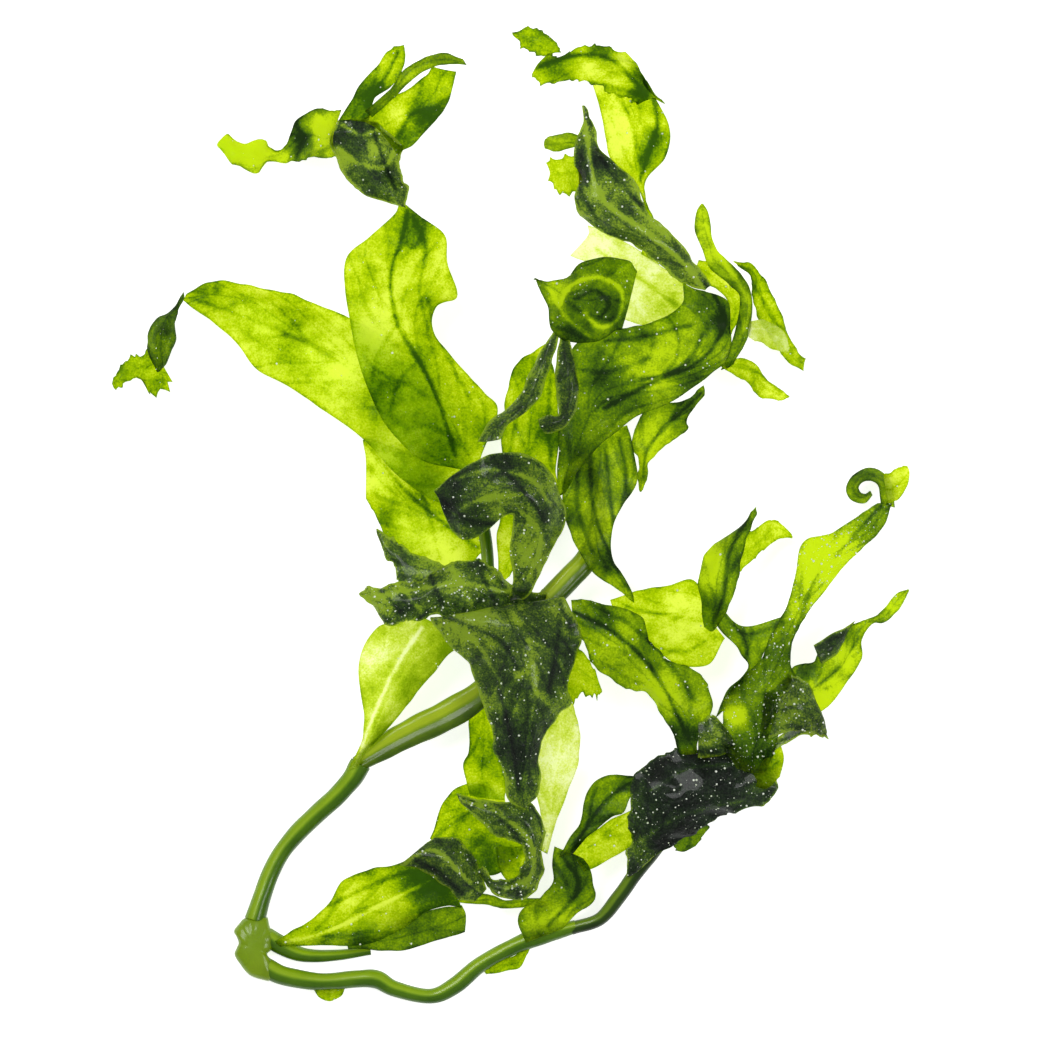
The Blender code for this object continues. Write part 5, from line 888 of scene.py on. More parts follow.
blade("hanging_blade", [
    ((10.4, -35.4, 18.8), (12.8, -32.8, 18.4), (15.6, -30.4, 18.5)),
    ((-4, -34.8, 25.6), (7, -32.4, 25.2), (18, -29.6, 22.6)),
    ((-19.2, -34.8, 27.2), (1.5, -31.8, 29.4), (19.5, -30, 25.2)),
    ((-19.8, -37.2, 26.6), (3, -36.6, 33), (24, -39, 24.4)),
    ((-12.9, -45, 25.4), (6, -44.4, 33.6), (23.1, -45, 25.2)),
    ((-8.4, -50.4, 24.6), (7.5, -51.6, 33.2), (19.8, -54.6, 25)),
    ((-6.3, -57, 24), (8.1, -58.8, 32), (21.3, -60.6, 24.8)),
    ((-3.6, -65.4, 23.6), (8.4, -66, 30), (16.8, -65.4, 24.8)),
    ((-1.2, -73.5, 23), (7.5, -73.5, 27.8), (12.3, -72.6, 24)),
    ((0.9, -82.8, 22.2), (7.2, -81.6, 25.4), (12, -82.2, 22.8)),
    ((2.4, -89.4, 21.2), (6.9, -88.5, 22.8), (11.1, -88.8, 21.4)),
    ((6.6, -91.8, 20.2), (7.2, -92.1, 20.6), (7.8, -91.5, 20.2))],
    dark_blade, ruffle=1.0, wave=11, teeth=0.5, grains=1.0,
    painted_shading_spots=[(-13.5, -38.4, 7.8, -0.36), (21, -35.4, 5.4, -0.27), (0, -46.5, 6, 0.15), (6.6, -72, 9, 0.35),
           (-3, -60, 4.2, -0.21), (9, -51, 4.8, -0.12), (18, -54, 4.2, 0.2), (-6, -33, 3.6, -0.18)],
    lines=[(0.35, [(-14.4, -35.4), (0, -42), (5.4, -50.4)]),
           (0.4, [(0, -57), (3.6, -72), (5.7, -87)]),
           (-0.25, [(8.4, -42), (15, -45), (19.5, -51.6)]),
           (-0.25, [(9.3, -48.6), (2.1, -57), (0.3, -66.6)]),
           (-0.2, [(10.5, -57), (15.6, -62.4)]),
           (0.3, [(18, -31.2), (21.6, -40.2)]),
           (-0.25, [(3.6, -33.6), (8.4, -42), (10.8, -54), (8.7, -69), (7.2, -85.5)]),
           (-0.3, [(-18, -35.4), (-7.5, -42), (0, -54)]),
           (0.4, [(18, -33), (16.8, -45), (14.4, -57)])])
blade("side_flap", [
    ((19.4, -44.6, 24.4), (19.8, -50.4, 24), (20.8, -58.4, 24.2)),
    ((23.8, -45.6, 22.6), (23.9, -51.6, 21.4), (24.3, -58.2, 22)),
    ((27.6, -50.4, 21.6), (28, -54, 20.8), (28.2, -57.6, 21)),
    ((30.3, -56.4, 20.4), (30.6, -57.3, 20.4), (30, -57.9, 20.4))],
    thin_blade, ruffle=0.6, wave=6, teeth=1.4, tooth=2.6, tone=0.2, slot="light_blade")
blade("back_strip", [
    ((-8.4, -57.6, 10.6), (-5.4, -58.8, 10.5), (-2.4, -60.6, 10.7)),
    ((-9, -66, 8.8), (-4.8, -66.6, 7.6), (-0.6, -66.6, 8.8)),
    ((-9, -75, 8.8), (-4.8, -75, 7.4), (0, -75, 8.8)),
    ((-10.8, -80.4, 8.4), (-5.4, -82.5, 7), (1.8, -83.4, 8.2)),
    ((-9, -88.5, 8.6), (-4.5, -89.4, 7.6), (1.5, -90, 8.6))],
    thin_blade, ruffle=0.6, wave=8, teeth=0.6, tone=0.1,
    painted_shading_spots=[(-5, -77, 5, 0.4)])
blade("pale_blade", [
    ((12.4, -103.6, 14.4), (13.6, -104.2, 14.3), (14.6, -104.6, 14.4)),
    ((12.3, -94.5, 12.2), (15, -94.8, 11.4), (17.4, -94.5, 12)),
    ((10.8, -87, 11.2), (15.6, -87, 9.2), (20.4, -87, 10.8)),
    ((9.9, -78, 12.2), (16.8, -78.6, 9.8), (23.4, -78.6, 11.8)),
    ((11.4, -69, 13), (18, -69, 10.6), (24, -70.5, 12.8)),
    ((12, -60, 13.6), (17.4, -60, 12), (21.9, -60.9, 13.8))],
    pale_blade, ruffle=0.8, wave=10, teeth=0.3,
    painted_shading_spots=[(17, -66, 6, 0.25)])

# The blades at the bottom
# The middle stipe runs out along a folded leaf. Its end carries a dark round cap, a bright lobe
# and a blade that curls round in a spiral.
blade("middle_leaf", [
    ((-66.2, -131.6, 5.5), (-65.4, -132.8, 5.4), (-64.4, -133.8, 5.4)),
    ((-58.5, -126.9, 8.2), (-57, -130.5, 6.8), (-54.6, -133.5, 7.6)),
    ((-51, -120.9, 10), (-48.6, -127.5, 7.2), (-46.5, -133.5, 8)),
    ((-47.1, -114, 11.6), (-42.6, -123, 7.6), (-38.4, -132.6, 8.4)),
    ((-39.6, -110.7, 12.2), (-34.5, -119.4, 8.2), (-30, -129, 9)),
    ((-30.6, -108.6, 12), (-26.4, -115.5, 8.6), (-22.5, -123.6, 9.2)),
    ((-22.5, -104.4, 11.2), (-19.5, -111.6, 8.8), (-15.9, -121.5, 9)),
    ((-17.4, -107.4, 10.4), (-14.4, -114.6, 8.8), (-11.4, -122.4, 9))],
    thin_blade, ruffle=0.8, wave=10, teeth=0.3, tone=0.1,
    painted_shading_spots=[(-15.6, -121.5, 7.8, 0.55), (-34.5, -133.5, 4.8, 0.35), (-46.5, -121.5, 6.6, -0.25),
           (-24, -114, 6.6, 0.6), (-18, -111, 6.6, 0.6), (-39, -111.6, 4.2, 0.35),
           (-42, -131.4, 3.6, 0.4), (-30, -127.5, 4.2, 0.2)],
    lines=[(-0.5, [(-64.5, -132.6), (-51, -129), (-36, -121.5), (-21, -114)]),
           (0.4, [(-51, -121.5), (-39, -115.5), (-27, -111)])])
blade("under_leaf", [
    ((-44.4, -131.4, 4.6), (-44.4, -133.2, 3.9), (-44.1, -134.8, 3.4)),
    ((-34.5, -129.6, 5.6), (-34.5, -132, 4.2), (-34.2, -135, 3.6)),
    ((-27, -124.5, 5.8), (-26.4, -129, 4), (-26.1, -134.4, 3.2)),
    ((-18, -122.4, 5.8), (-17.4, -127.5, 4), (-16.8, -131.4, 3.2)),
    ((-11.4, -121.5, 5.8), (-10.2, -124.5, 4.6), (-10.5, -129.6, 4))],
    olive_blade, ruffle=0.5, wave=8, teeth=0.4, tone=0.25)
blade("round_cap", [
    ((-4.5, -115.2, 9.6), (-6.6, -117.6, 10.4), (-9, -120, 9.8)),
    ((-7.5, -108, 10.6), (-10.2, -114, 13.4), (-12.6, -119.4, 11.2)),
    ((-11.4, -102.9, 11.6), (-13.5, -109.5, 15.4), (-16.5, -115.5, 12.2)),
    ((-16.5, -101.1, 11.8), (-18.9, -107.1, 15.2), (-22.5, -111.6, 12.2)),
    ((-21.6, -102.6, 12), (-25.5, -105.6, 13.8), (-30, -109.2, 13.1))],
    dark_blade, ruffle=0.8, wave=7, teeth=0.4, grains=0.8,
    lines=[(0.4, [(-25.5, -107.4), (-18, -111.6), (-11.4, -117.6)]),
           (-0.5, [(-28.5, -108.6), (-19.5, -105), (-9, -114.6)])])
blade("bright_lobe", [
    ((0, -87.6, 6.8), (0.9, -93, 7.2), (6, -105, 8.4)),
    ((-7.5, -84.6, 5.9), (-6, -92.4, 6), (1.2, -110.7, 7.8)),
    ((-13.5, -86.7, 7.2), (-12, -94.5, 6.2), (-6, -111.6, 7.8)),
    ((-18, -92.4, 7.8), (-16.8, -97.2, 6.4), (-13.5, -105.6, 7.4)),
    ((-21, -101.4, 7.2), (-20.7, -101.7, 7), (-20.1, -102, 7.2))],
    thin_blade, ruffle=0.9, wave=7, teeth=0.5, tone=0.15,
    painted_shading_spots=[(-3, -106, 7, 0.5)],
    lines=[(0.35, [(-19.2, -100.8), (-9, -93.6), (0, -91.8)])])
blade("spiral_curl", [
    ((-5.4, -113.4, 11), (-5.6, -111.9, 11.4), (-4.4, -110.4, 11.2)),
    ((-2.4, -117.6, 13.6), (-2.4, -115.5, 14.8), (-2.4, -113.1, 13.4)),
    ((4.5, -119.4, 14), (2.7, -116.7, 15.8), (1.2, -114, 14)),
    ((10.5, -116.4, 14.4), (7.2, -114.6, 16.8), (4.2, -112.8, 14.6)),
    ((12.6, -110.4, 14.8), (9.3, -110.4, 17.4), (6.6, -109.8, 15.2)),
    ((12.9, -103.5, 15.4), (10.2, -105, 18.2), (7.5, -105.6, 16)),
    ((12.6, -96.6, 16.2), (9.6, -99.6, 19.4), (6.6, -102.6, 17)),
    ((9, -90.6, 17.4), (6.6, -96, 20.4), (2.4, -101.4, 18)),
    ((1.5, -90, 18.8), (0, -94.5, 21), (-2.4, -99.6, 19)),
    ((-6, -90, 18.6), (-6.6, -92.4, 20.2), (-7.5, -94.5, 18.8)),
    ((-12.9, -87.9, 17.8), (-12.3, -89.4, 18.2), (-11.4, -90.9, 17.8))],
    dark_blade, ruffle=0.8, wave=7, teeth=0.7, grains=1.8,
    painted_shading_spots=[(11, -102, 5, -0.2)],
    lines=[(0.35, [(-4.5, -91.8), (4.5, -99.6), (6.6, -108.6)]),
           (-0.4, [(-12, -89.4), (0, -94.5), (9, -102), (9, -112.5), (1.5, -116.4)])])
blade("speckled_leaf", [
    ((9.6, -116.6, 14), (6.6, -116.8, 14.2), (4, -116.2, 14.2)),
    ((10.6, -110.4, 12), (5.4, -109.5, 11), (0, -110.4, 12)),
    ((9.9, -103.8, 12), (4.5, -103.8, 11), (-1.5, -103.8, 12))],
    thin_blade, ruffle=0.4, wave=5, teeth=0.4, tone=0.1, grains=0.6, slot="light_blade")
blade("bottom_strip", [
    ((-10.6, -118.6, 6.4), (-11, -119.8, 6.3), (-11.2, -120.7, 6.4)),
    ((-4.5, -117.9, 6), (-4.5, -119.4, 5), (-4.5, -121.2, 6)),
    ((1.5, -120, 5.6), (1.5, -121.2, 4.8), (1.5, -122.4, 5.6)),
    ((7.5, -119.4, 5.2), (8.1, -120.6, 4.6), (9, -121.5, 5.2)),
    ((13.5, -119.4, 4.8), (14.4, -120.6, 4.4), (14.1, -122.1, 4.8))],
    olive_blade, ruffle=0.5, wave=5, teeth=0.6)
blade("stipe_leaflet", [
    ((-55.8, -147, 2.6), (-51, -147.2, 2.8), (-46.5, -146.6, 2.6)),
    ((-54.6, -148.9, 1.4), (-51, -149.2, 1.2), (-47.4, -148.5, 1.4)),
    ((-52.5, -150, 0.5), (-51, -150.3, 0.4), (-49.5, -149.7, 0.5))],
    thin_blade, ruffle=0.2, wave=5, teeth=0.3, slot="light_blade")

# The blades at the lower right
# The lower stipe ends in a twisted leaf and a dark stem. The stem carries a crowded dark mass,
# from which a ridged blade, a pale blade and a web of tissue reach to the left.
blade("twisted_leaf", [
    ((7.2, -131.4, 5.4), (17, -127.9, 5.3), (20, -127.1, 5.2)),
    ((5.4, -126.3, 6.6), (17.4, -124.6, 5.6), (23.4, -123.6, 6.6)),
    ((7.8, -121.5, 7.8), (19.5, -121.2, 6), (27, -121.5, 7.4)),
    ((12, -119.1, 9.4), (21.6, -119.4, 7.2), (28.5, -119.1, 8.6)),
    ((15.9, -114, 10.6), (23.4, -114.6, 9), (28.2, -115.2, 10)),
    ((15.6, -108.9, 11.6), (22.5, -109.8, 10.4), (27, -110.4, 11.4)),
    ((16.5, -103.8, 12.2), (21.6, -105.9, 11.8), (24.9, -107.4, 12.2))],
    olive_blade, ruffle=0.9, wave=7, teeth=0.4,
    painted_shading_spots=[(22.5, -114, 6, 0.45), (18, -124.5, 4.8, -0.35), (10.5, -126, 3.6, -0.35),
           (22.5, -106.5, 4.2, 0.4)],
    lines=[(0.5, [(18, -105.6), (23.4, -114), (21.6, -120), (14.4, -127.5)])])
blade("lower_right_leaf", [
    ((18.4, -105.6, 12.9), (20.4, -105.3, 12.8), (22.4, -105.5, 12.8)),
    ((24, -95.4, 11.6), (25.5, -98.4, 10.4), (27, -99.9, 11.2)),
    ((26.4, -86.7, 12.8), (29.4, -90.9, 10.6), (32.4, -95.4, 12.2)),
    ((31.8, -82.5, 13.4), (34.5, -87, 11), (36.6, -93.6, 12.4)),
    ((38.1, -82.2, 13.2), (39, -84.6, 11.4), (39, -89.1, 11.6)),
    ((45.6, -82.8, 11), (43.8, -85.2, 10.6), (42.3, -86.4, 10.6))],
    olive_blade, ruffle=0.7, wave=8, teeth=0.4,
    painted_shading_spots=[(34.5, -88.5, 5.4, -0.05), (29.4, -94.5, 4.2, 0.3), (39.6, -82.5, 3.6, 0.45),
           (24, -102, 4.2, 0.45)],
    lines=[(0.45, [(21.6, -105), (27.6, -95.4), (35.4, -87), (43.5, -83.4)])])
blade("bright_slip", [
    ((21.9, -103.8, 11.2), (23.1, -105.6, 11), (26.4, -110.7, 11.2)),
    ((27, -100.2, 10.8), (28.2, -102.9, 9.8), (31.8, -108.3, 10.4)),
    ((33, -96, 11), (34.2, -98.7, 9.8), (38.4, -104.7, 10.6)),
    ((39, -93, 11.6), (39.6, -94.8, 11.2), (42, -99.6, 11.4))],
    thin_blade, ruffle=0.5, wave=6, teeth=0.3, slot="light_blade")
blade("stipe_fin", [
    ((9.3, -133.2, 2.2), (8.4, -134.7, 2), (7.8, -136.8, 1.6)),
    ((4.5, -136.5, 2), (4.8, -138.3, 1.4), (5.4, -140.7, 1)),
    ((-0.3, -138.3, 1.8), (0, -139.8, 1.2), (0.6, -141.6, 0.8)),
    ((-4.8, -140.4, 1.6), (-4.8, -141.3, 1.2), (-4.2, -142.2, 0.9))],
    thin_blade, ruffle=0.2, wave=6, teeth=0.5, tone=0.2, slot="light_blade")
blade("under_slip", [
    ((50.4, -95.4, 14), (52.8, -96.6, 14.2), (57, -96.6, 14)),
    ((51.6, -100.8, 12), (56.4, -101.4, 11.6), (62.4, -97.8, 12)),
    ((52.8, -105, 10.4), (55.2, -105.3, 10), (58.2, -103.8, 10.2))],
    olive_blade, ruffle=0.4, wave=4, teeth=1.2, tooth=2.0, tone=0.2, slot="green_blade")
blade("dark_mass", [
    ((37.5, -111.6, 10.2), (39.6, -111.6, 10.2), (42, -110.4, 10.4)),
    ((39, -103.5, 11.6), (43.5, -105.6, 13.2), (48, -105, 12.9)),
    ((39.6, -94.5, 13.8), (48, -99, 17.4), (57, -100.5, 13.6)),
    ((42, -81.3, 15), (52.5, -91.5, 20), (63.6, -96, 14.8)),
    ((50.4, -75.3, 16), (61.5, -87, 21), (72.6, -93, 15.4)),
    ((60.6, -74.1, 16), (69.6, -83.4, 20), (80.4, -89.7, 15.2)),
    ((71.4, -74.4, 15.4), (76.8, -79.5, 17.4), (83.7, -80.4, 14.4))],
    dark_blade, tone=0.4, ruffle=1.2, wave=7, teeth=1.0, grains=1.8,
    painted_shading_spots=[(79.8, -81, 4.2, -0.85), (57, -90, 12, 0.25), (40.8, -90, 3.6, -0.4), (42, -105, 4.8, -0.5),
           (48, -103.5, 3, 0.3), (60, -78, 6, 0.2)],
    lines=[(-0.4, [(45, -87), (57, -80.4), (72, -79.2)]),
           (-0.3, [(42, -102), (54, -94.5), (72, -90)])])
blade("bright_patch", [
    ((72.6, -77.4, 18.6), (73.2, -80.4, 18.6), (73.5, -84, 18.2)),
    ((78, -75, 18.4), (79.2, -80.4, 18.4), (79.2, -86.4, 17.4)),
    ((84, -73.2, 17.2), (84.9, -77.4, 17), (83.7, -82.8, 16.6))],
    thin_blade, ruffle=0.4, wave=6, teeth=0.5, tone=0.1, slot="light_blade")
blade("speckled_lobe", [
    ((80.4, -57, 20.4), (79.8, -63.6, 21), (79.2, -70.8, 20.2)),
    ((88.2, -52.8, 18.6), (89.1, -61.5, 20), (90, -69, 18)),
    ((93.6, -57, 16), (95.4, -63.6, 16.6), (94.8, -70.2, 15.4)),
    ((96.6, -67.2, 13.2), (97.8, -69.6, 13), (96.6, -71.4, 12.8))],
    dark_blade, ruffle=1.0, wave=5, teeth=0.9, grains=2.0, tone=-0.05, slot="dark_blade")
blade("glossy_fan", [
    ((60.4, -66, 20), (60.6, -71.4, 20.6), (60.6, -77.1, 17.3)),
    ((63.6, -64.2, 20.2), (64.2, -70.5, 21.4), (64.8, -76.8, 17.6)),
    ((68.4, -69.6, 19.6), (68.7, -72.6, 20.4), (69.3, -75.5, 17)),
    ((71.4, -74.1, 17.6), (71.4, -74.7, 17.2), (71.1, -75.3, 16.8))],
    dark_blade, ruffle=0.6, wave=6, teeth=0.5, grains=1.2,
    painted_shading_spots=[(64, -71, 4, -0.25)])
blade("ridged_blade", [
    ((58.5, -73.4, 16.4), (58.8, -75.6, 16.6), (57.4, -78, 16.4)),
    ((61.2, -66.6, 18.6), (56.4, -70.5, 19.6), (53.4, -75, 18.2)),
    ((63.6, -60, 20), (55.5, -65.4, 22.2), (51.9, -70.2, 19)),
    ((60, -51.6, 21), (51.9, -60, 24.2), (48.3, -63.9, 20)),
    ((51.6, -48.6, 21.8), (46.5, -55.5, 25.2), (44.1, -58.2, 21)),
    ((45, -43.5, 22.6), (41.1, -49.5, 26), (36.6, -55.2, 21.8)),
    ((42, -35.1, 23), (35.4, -43.5, 26.2), (29.1, -51, 22.4)),
    ((31.8, -30.9, 23), (28.5, -38.4, 25.2), (24.9, -42.4, 22.8)),
    ((21.3, -30.3, 22.4), (21.6, -33.9, 22.8), (21.6, -36.6, 22.4))],
    olive_blade, ruffle=1.1, wave=7, teeth=0.7, grains=0.6, tone=0.0,
    painted_shading_spots=[(30, -36, 4.2, 0.35), (36, -42, 4.2, -0.2), (48, -57, 6, -0.35), (57, -55.5, 3.6, 0.1),
           (52.5, -70.5, 5.4, 0.55), (42, -45, 3.6, 0.3), (58.5, -70.5, 3.6, 0.5),
           (46.5, -49.5, 2.4, 0.25)],
    lines=[(0.7, [(22.5, -33.6), (33, -39), (42, -46.5), (49.5, -57), (55.5, -69.6)]),
           (0.35, [(27, -31.2), (39, -37.5), (50.4, -48.6), (58.2, -60)])])
blade("pale_right_blade", [
    ((64.4, -33, 12.6), (63.4, -36.6, 12), (66.6, -42.6, 12.4)),
    ((58.2, -24, 12.6), (59.4, -33, 10.4), (62.4, -49.2, 12.4)),
    ((51, -25.5, 12.4), (52.2, -33.6, 10), (54, -49.5, 12.2)),
    ((43.5, -26.4, 12.2), (45.6, -33.6, 10.4), (46.5, -44.7, 12)),
    ((33, -30, 11.8), (33.6, -31.8, 11.4), (35.4, -34.8, 11.8))],
    thin_blade, ruffle=0.7, wave=9, teeth=0.3,
    painted_shading_spots=[(52, -33, 6, -0.25)],
    lines=[(0.3, [(37.5, -31.8), (51, -34.8), (63.6, -36.6)]),
           (0.3, [(42, -42), (54, -45.6), (61.8, -42)])])
blade("twisting_tip", [
    ((60.9, -36.6, 13.6), (63.6, -38.1, 13.5), (66, -36, 13.3)),
    ((60, -30, 14.4), (64.8, -31.2, 17), (69, -29.4, 14.8)),
    ((59.4, -23.4, 15), (64.8, -23.4, 18.8), (71.4, -22.8, 15)),
    ((60.9, -17.1, 15.2), (66.6, -16.8, 18.8), (72.3, -15, 14.8)),
    ((64.2, -13.2, 15), (69.6, -11.4, 17.2), (73.8, -9.6, 14.4)),
    ((70.5, -9, 14.6), (73.5, -7.5, 15.8), (75.6, -5.1, 14.2)),
    ((75, -3.6, 14), (75.9, -3, 14.2), (76.8, -1.8, 14))],
    olive_blade, ruffle=0.7, wave=8, teeth=0.3,
    painted_shading_spots=[(63.6, -21, 4.2, -0.55), (69.6, -18, 3.6, 0.45), (73.5, -7.5, 4.2, 0.3),
           (64.5, -31.5, 4.2, 0.4)],
    lines=[(0.5, [(73.5, -6), (68.4, -16.5), (67.2, -27), (64.2, -36)])])
blade("bright_tip", [
    ((72.6, -12.3, 13.6), (72.8, -16.8, 13.6), (72.2, -21.3, 13.8)),
    ((77.1, -8.4, 11.6), (77.4, -12.6, 10.6), (77.1, -16.8, 11.4)),
    ((82.2, -6, 8.6), (82.2, -8.4, 7.6), (81.6, -12, 8.4)),
    ((87.3, -10.2, 6.6), (87.6, -10.8, 6.4), (87.6, -11.4, 6.6))],
    thin_blade, ruffle=0.6, wave=6, teeth=1.0, tone=0.1)
blade("web", [
    ((64.8, -64.5, 18.2), (65.4, -64, 18), (66.3, -63.4, 18.2)),
    ((68.1, -57, 17.8), (71.1, -57.6, 17), (72.6, -57, 17.8)),
    ((74.4, -50.4, 17), (75, -51.6, 15.8), (76.6, -50.4, 17.3)),
    ((71.7, -45, 15.4), (74.1, -46.2, 14), (79.2, -45.3, 14.8)),
    ((65.1, -38.1, 13.4), (74.1, -42, 12), (81.6, -40.8, 13)),
    ((65.1, -30.9, 12.4), (72.6, -37.8, 11.2), (85.2, -34.8, 12.4))],
    olive_blade, ruffle=0.6, wave=8, teeth=0.3, tone=0.1, grains=0.4,
    lines=[(0.35, [(66, -62.4), (73.5, -48), (72.6, -39.6)]),
           (0.3, [(66.6, -33.6), (73.5, -40.2), (83.4, -37.2)])])

# The branch at the far right
# A stiff, dark branch climbs to a tip that is rolled up like a fern. A lobed blade with a thin
# tail leaves it lower down and lies on the surface at its end.
blade("right_branch", [
    ((70, -79, 18.9), (75.4, -80.2, 19.3), (80.6, -80.4, 17.1)),
    ((67.2, -73.5, 18.6), (76.8, -73.8, 20.4), (82, -74.2, 18.2)),
    ((66.3, -64.8, 19.2), (78, -65.4, 21.8), (84.6, -64.8, 19)),
    ((69.3, -56.4, 19.2), (79.5, -57.6, 21.4), (90, -57, 18.6)),
    ((78.6, -46.5, 18.3), (83.4, -48, 19.9), (87, -46.8, 17.5)),
    ((83.4, -36.6, 16.7), (87, -37.5, 17.7), (90.3, -36.6, 16.1)),
    ((87.6, -26.4, 14.5), (91.5, -28.5, 15.3), (96, -28.5, 14.1)),
    ((90.6, -13.8, 12.1), (96.6, -20.4, 13.3), (102.9, -19.8, 11.9)),
    ((98.4, -10.2, 10), (103.5, -14.4, 11.2), (108.6, -14.7, 10)),
    ((107.4, -5.1, 8.2), (111.6, -8.1, 9), (115.2, -7.8, 8.2)),
    ((113.4, -0.9, 7.4), (115.5, -0.9, 7.8), (117.6, -0.9, 7.4))],
    olive_blade, ruffle=1.1, wave=7, teeth=0.5, tone=0.02, grains=2.4,
    painted_shading_spots=[(98.4, -19.5, 9, -0.75), (111, -9, 4.2, 0.3), (115.5, -3, 3.6, 0.35), (82.5, -37.5, 3.6, 0.1),
           (70.5, -64.5, 3.6, -0.6), (79.5, -60, 6, 0.35), (85.5, -46.5, 6, 0.35), (76.5, -73.5, 6, 0.4)],
    lines=[(0.4, [(114, -1.8), (105, -12), (94.5, -24), (87.6, -42)])])
blade("rolled_tip", [
    ((118.2, -0.9, 5.6), (116.1, -0.3, 7.9), (114, 0.3, 10)),
    ((117.9, 3.6, 5.4), (115.8, 3.9, 8), (113.7, 3.9, 10.5)),
    ((115.2, 7.8, 5.6), (114, 6.6, 7.9), (112.5, 5.4, 10.2)),
    ((110.4, 9.6, 5.8), (110.1, 7.8, 7.9), (110.1, 6, 9.9)),
    ((105.6, 7.5, 6), (107.1, 6.3, 7.8), (108.3, 5.1, 9.6)),
    ((103.8, 3.6, 6.2), (105.6, 3.6, 7.8), (107.4, 3.6, 9.3)),
    ((105.3, 0, 6.4), (106.8, 0.9, 7.7), (108, 2.1, 9)),
    ((109.2, -0.9, 6.6), (109.2, 0.3, 7.7), (109.5, 1.8, 8.7)),
    ((111.6, 1.5, 6.8), (111.3, 2.1, 7.6), (111, 2.7, 8.4))],
    olive_blade, ruffle=0.2, wave=6, teeth=0.2, tone=0.2)
blade("tip_leaf", [
    ((116.2, 7.8, 8.6), (116.8, 3.6, 8.4), (117, -0.4, 8.4)),
    ((119.4, 9.3, 8.4), (120.3, 5.4, 7.8), (120.3, 1.2, 8.4)),
    ((122.1, 10.2, 8.2), (122.7, 8.4, 8), (122.4, 5.4, 8.2))],
    thin_blade, ruffle=0.4, wave=5, teeth=0.9, slot="light_blade")
blade("lobed_blade", [
    ((85, -56.4, 17.5), (85.5, -61.2, 17.5), (84.6, -67.8, 17.6)),
    ((87, -50.4, 14.7), (88.5, -59.1, 14.2), (90, -66.6, 14.5)),
    ((93.6, -48.6, 13.8), (95.1, -55.5, 12.3), (98.1, -61.8, 13.1)),
    ((96.6, -44.4, 11.9), (100.8, -51.6, 10.1), (103.8, -54.6, 10.9)),
    ((102.6, -42.6, 9.6), (105.3, -45.6, 7.8), (108.3, -48, 8.6)),
    ((105, -37.8, 7.7), (106.8, -39.9, 6.3), (108.6, -42, 7)),
    ((108.6, -36.3, 5.8), (110.4, -36.6, 5.1), (111.6, -37.2, 5.4)),
    ((114, -33.9, 3.6), (115.2, -34.8, 3.2), (116.1, -36, 3.4)),
    ((119.1, -28.2, 1.4), (119.7, -30, 1), (120.9, -30.6, 1.2)),
    ((122.4, -26.7, 0.3), (122.7, -27, 0.3), (122.4, -27.6, 0.3))],
    olive_blade, ruffle=0.9, wave=7, teeth=0.6, tone=-0.1,
    painted_shading_spots=[(93.6, -60, 6, -0.5), (103.5, -46.5, 4.8, -0.35), (105, -39.6, 3.6, 0.3),
           (91.5, -51.6, 4.2, 0.6), (87, -63.6, 3.6, 0.5)],
    lines=[(0.35, [(86.4, -61.5), (99, -52.5), (107.4, -41.4)])])
blade("lobe_curl", [
    ((105.3, -36.9, 8.6), (104.4, -38.7, 9.4), (103.5, -40.5, 9.6)),
    ((99.3, -40.5, 12.6), (100.2, -43.5, 13.8), (101.1, -46.2, 12.6)),
    ((93.9, -43.5, 14.4), (95.1, -46.5, 15.2), (96.3, -49.2, 14.4))],
    dark_blade, ruffle=0.5, wave=5, teeth=0.4, grains=0.8, slot="dark_blade",
    lines=[(0.2, [(105, -39), (96, -43.5)])])
blade("spiky_leaf", [
    ((83.3, -71.6, 18.3), (83.1, -73.2, 18.1), (82.8, -74.8, 17.9)),
    ((90, -66.6, 16.2), (90.4, -68.6, 15.8), (89.4, -70.4, 16)),
    ((93.6, -64.4, 14.6), (94.5, -67, 14.2), (94.2, -70.2, 14.4)),
    ((97, -68.6, 12.6), (97.6, -70, 12.5), (98.2, -71.4, 12.6))],
    dark_blade, ruffle=0.6, wave=5, teeth=1.0, grains=0.8)

# The pale grains
# Grains of shell sand and small air blisters stick to the wet blades, most of all to the dark
# ones in the middle and on the right. They are 0.2 to 0.8 mm across and nearly white.
grain_white = bpy.data.materials.new("White shell sand")
grain_white.use_nodes = True
grain_tree = grain_white.node_tree
grain_shader = grain_tree.nodes["Principled BSDF"]
grain_place = node(grain_tree, "ShaderNodeTexCoord").outputs["Object"]
grain_noise = node(grain_tree, "ShaderNodeTexNoise", {"Vector": grain_place, "Scale": 900.0})
grain_tone = node(grain_tree, "ShaderNodeValToRGB", {0: grain_noise.outputs["Fac"]},
                  [(0.3, linear("C8D8B0")), (0.7, linear("FAFFF2"))])
grain_tree.links.new(grain_tone.outputs["Color"], grain_shader.inputs["Base Color"])
grain_shader.inputs["Roughness"].default_value = 0.35
grain_shader.inputs["Coat Weight"].default_value = 0.4

bmesh.ops.translate(grain_bed, verts=grain_bed.verts, vec=-FRAME_ORIGIN)
bmesh.ops.scale(grain_bed, verts=grain_bed.verts, vec=(MM, MM, MM))
bed_mesh = bpy.data.meshes.new("Grain bed")
grain_bed.to_mesh(bed_mesh)
grain_bed.free()
bed = bpy.data.objects.new("Grain bed", bed_mesh)
bpy.context.scene.collection.objects.link(bed)

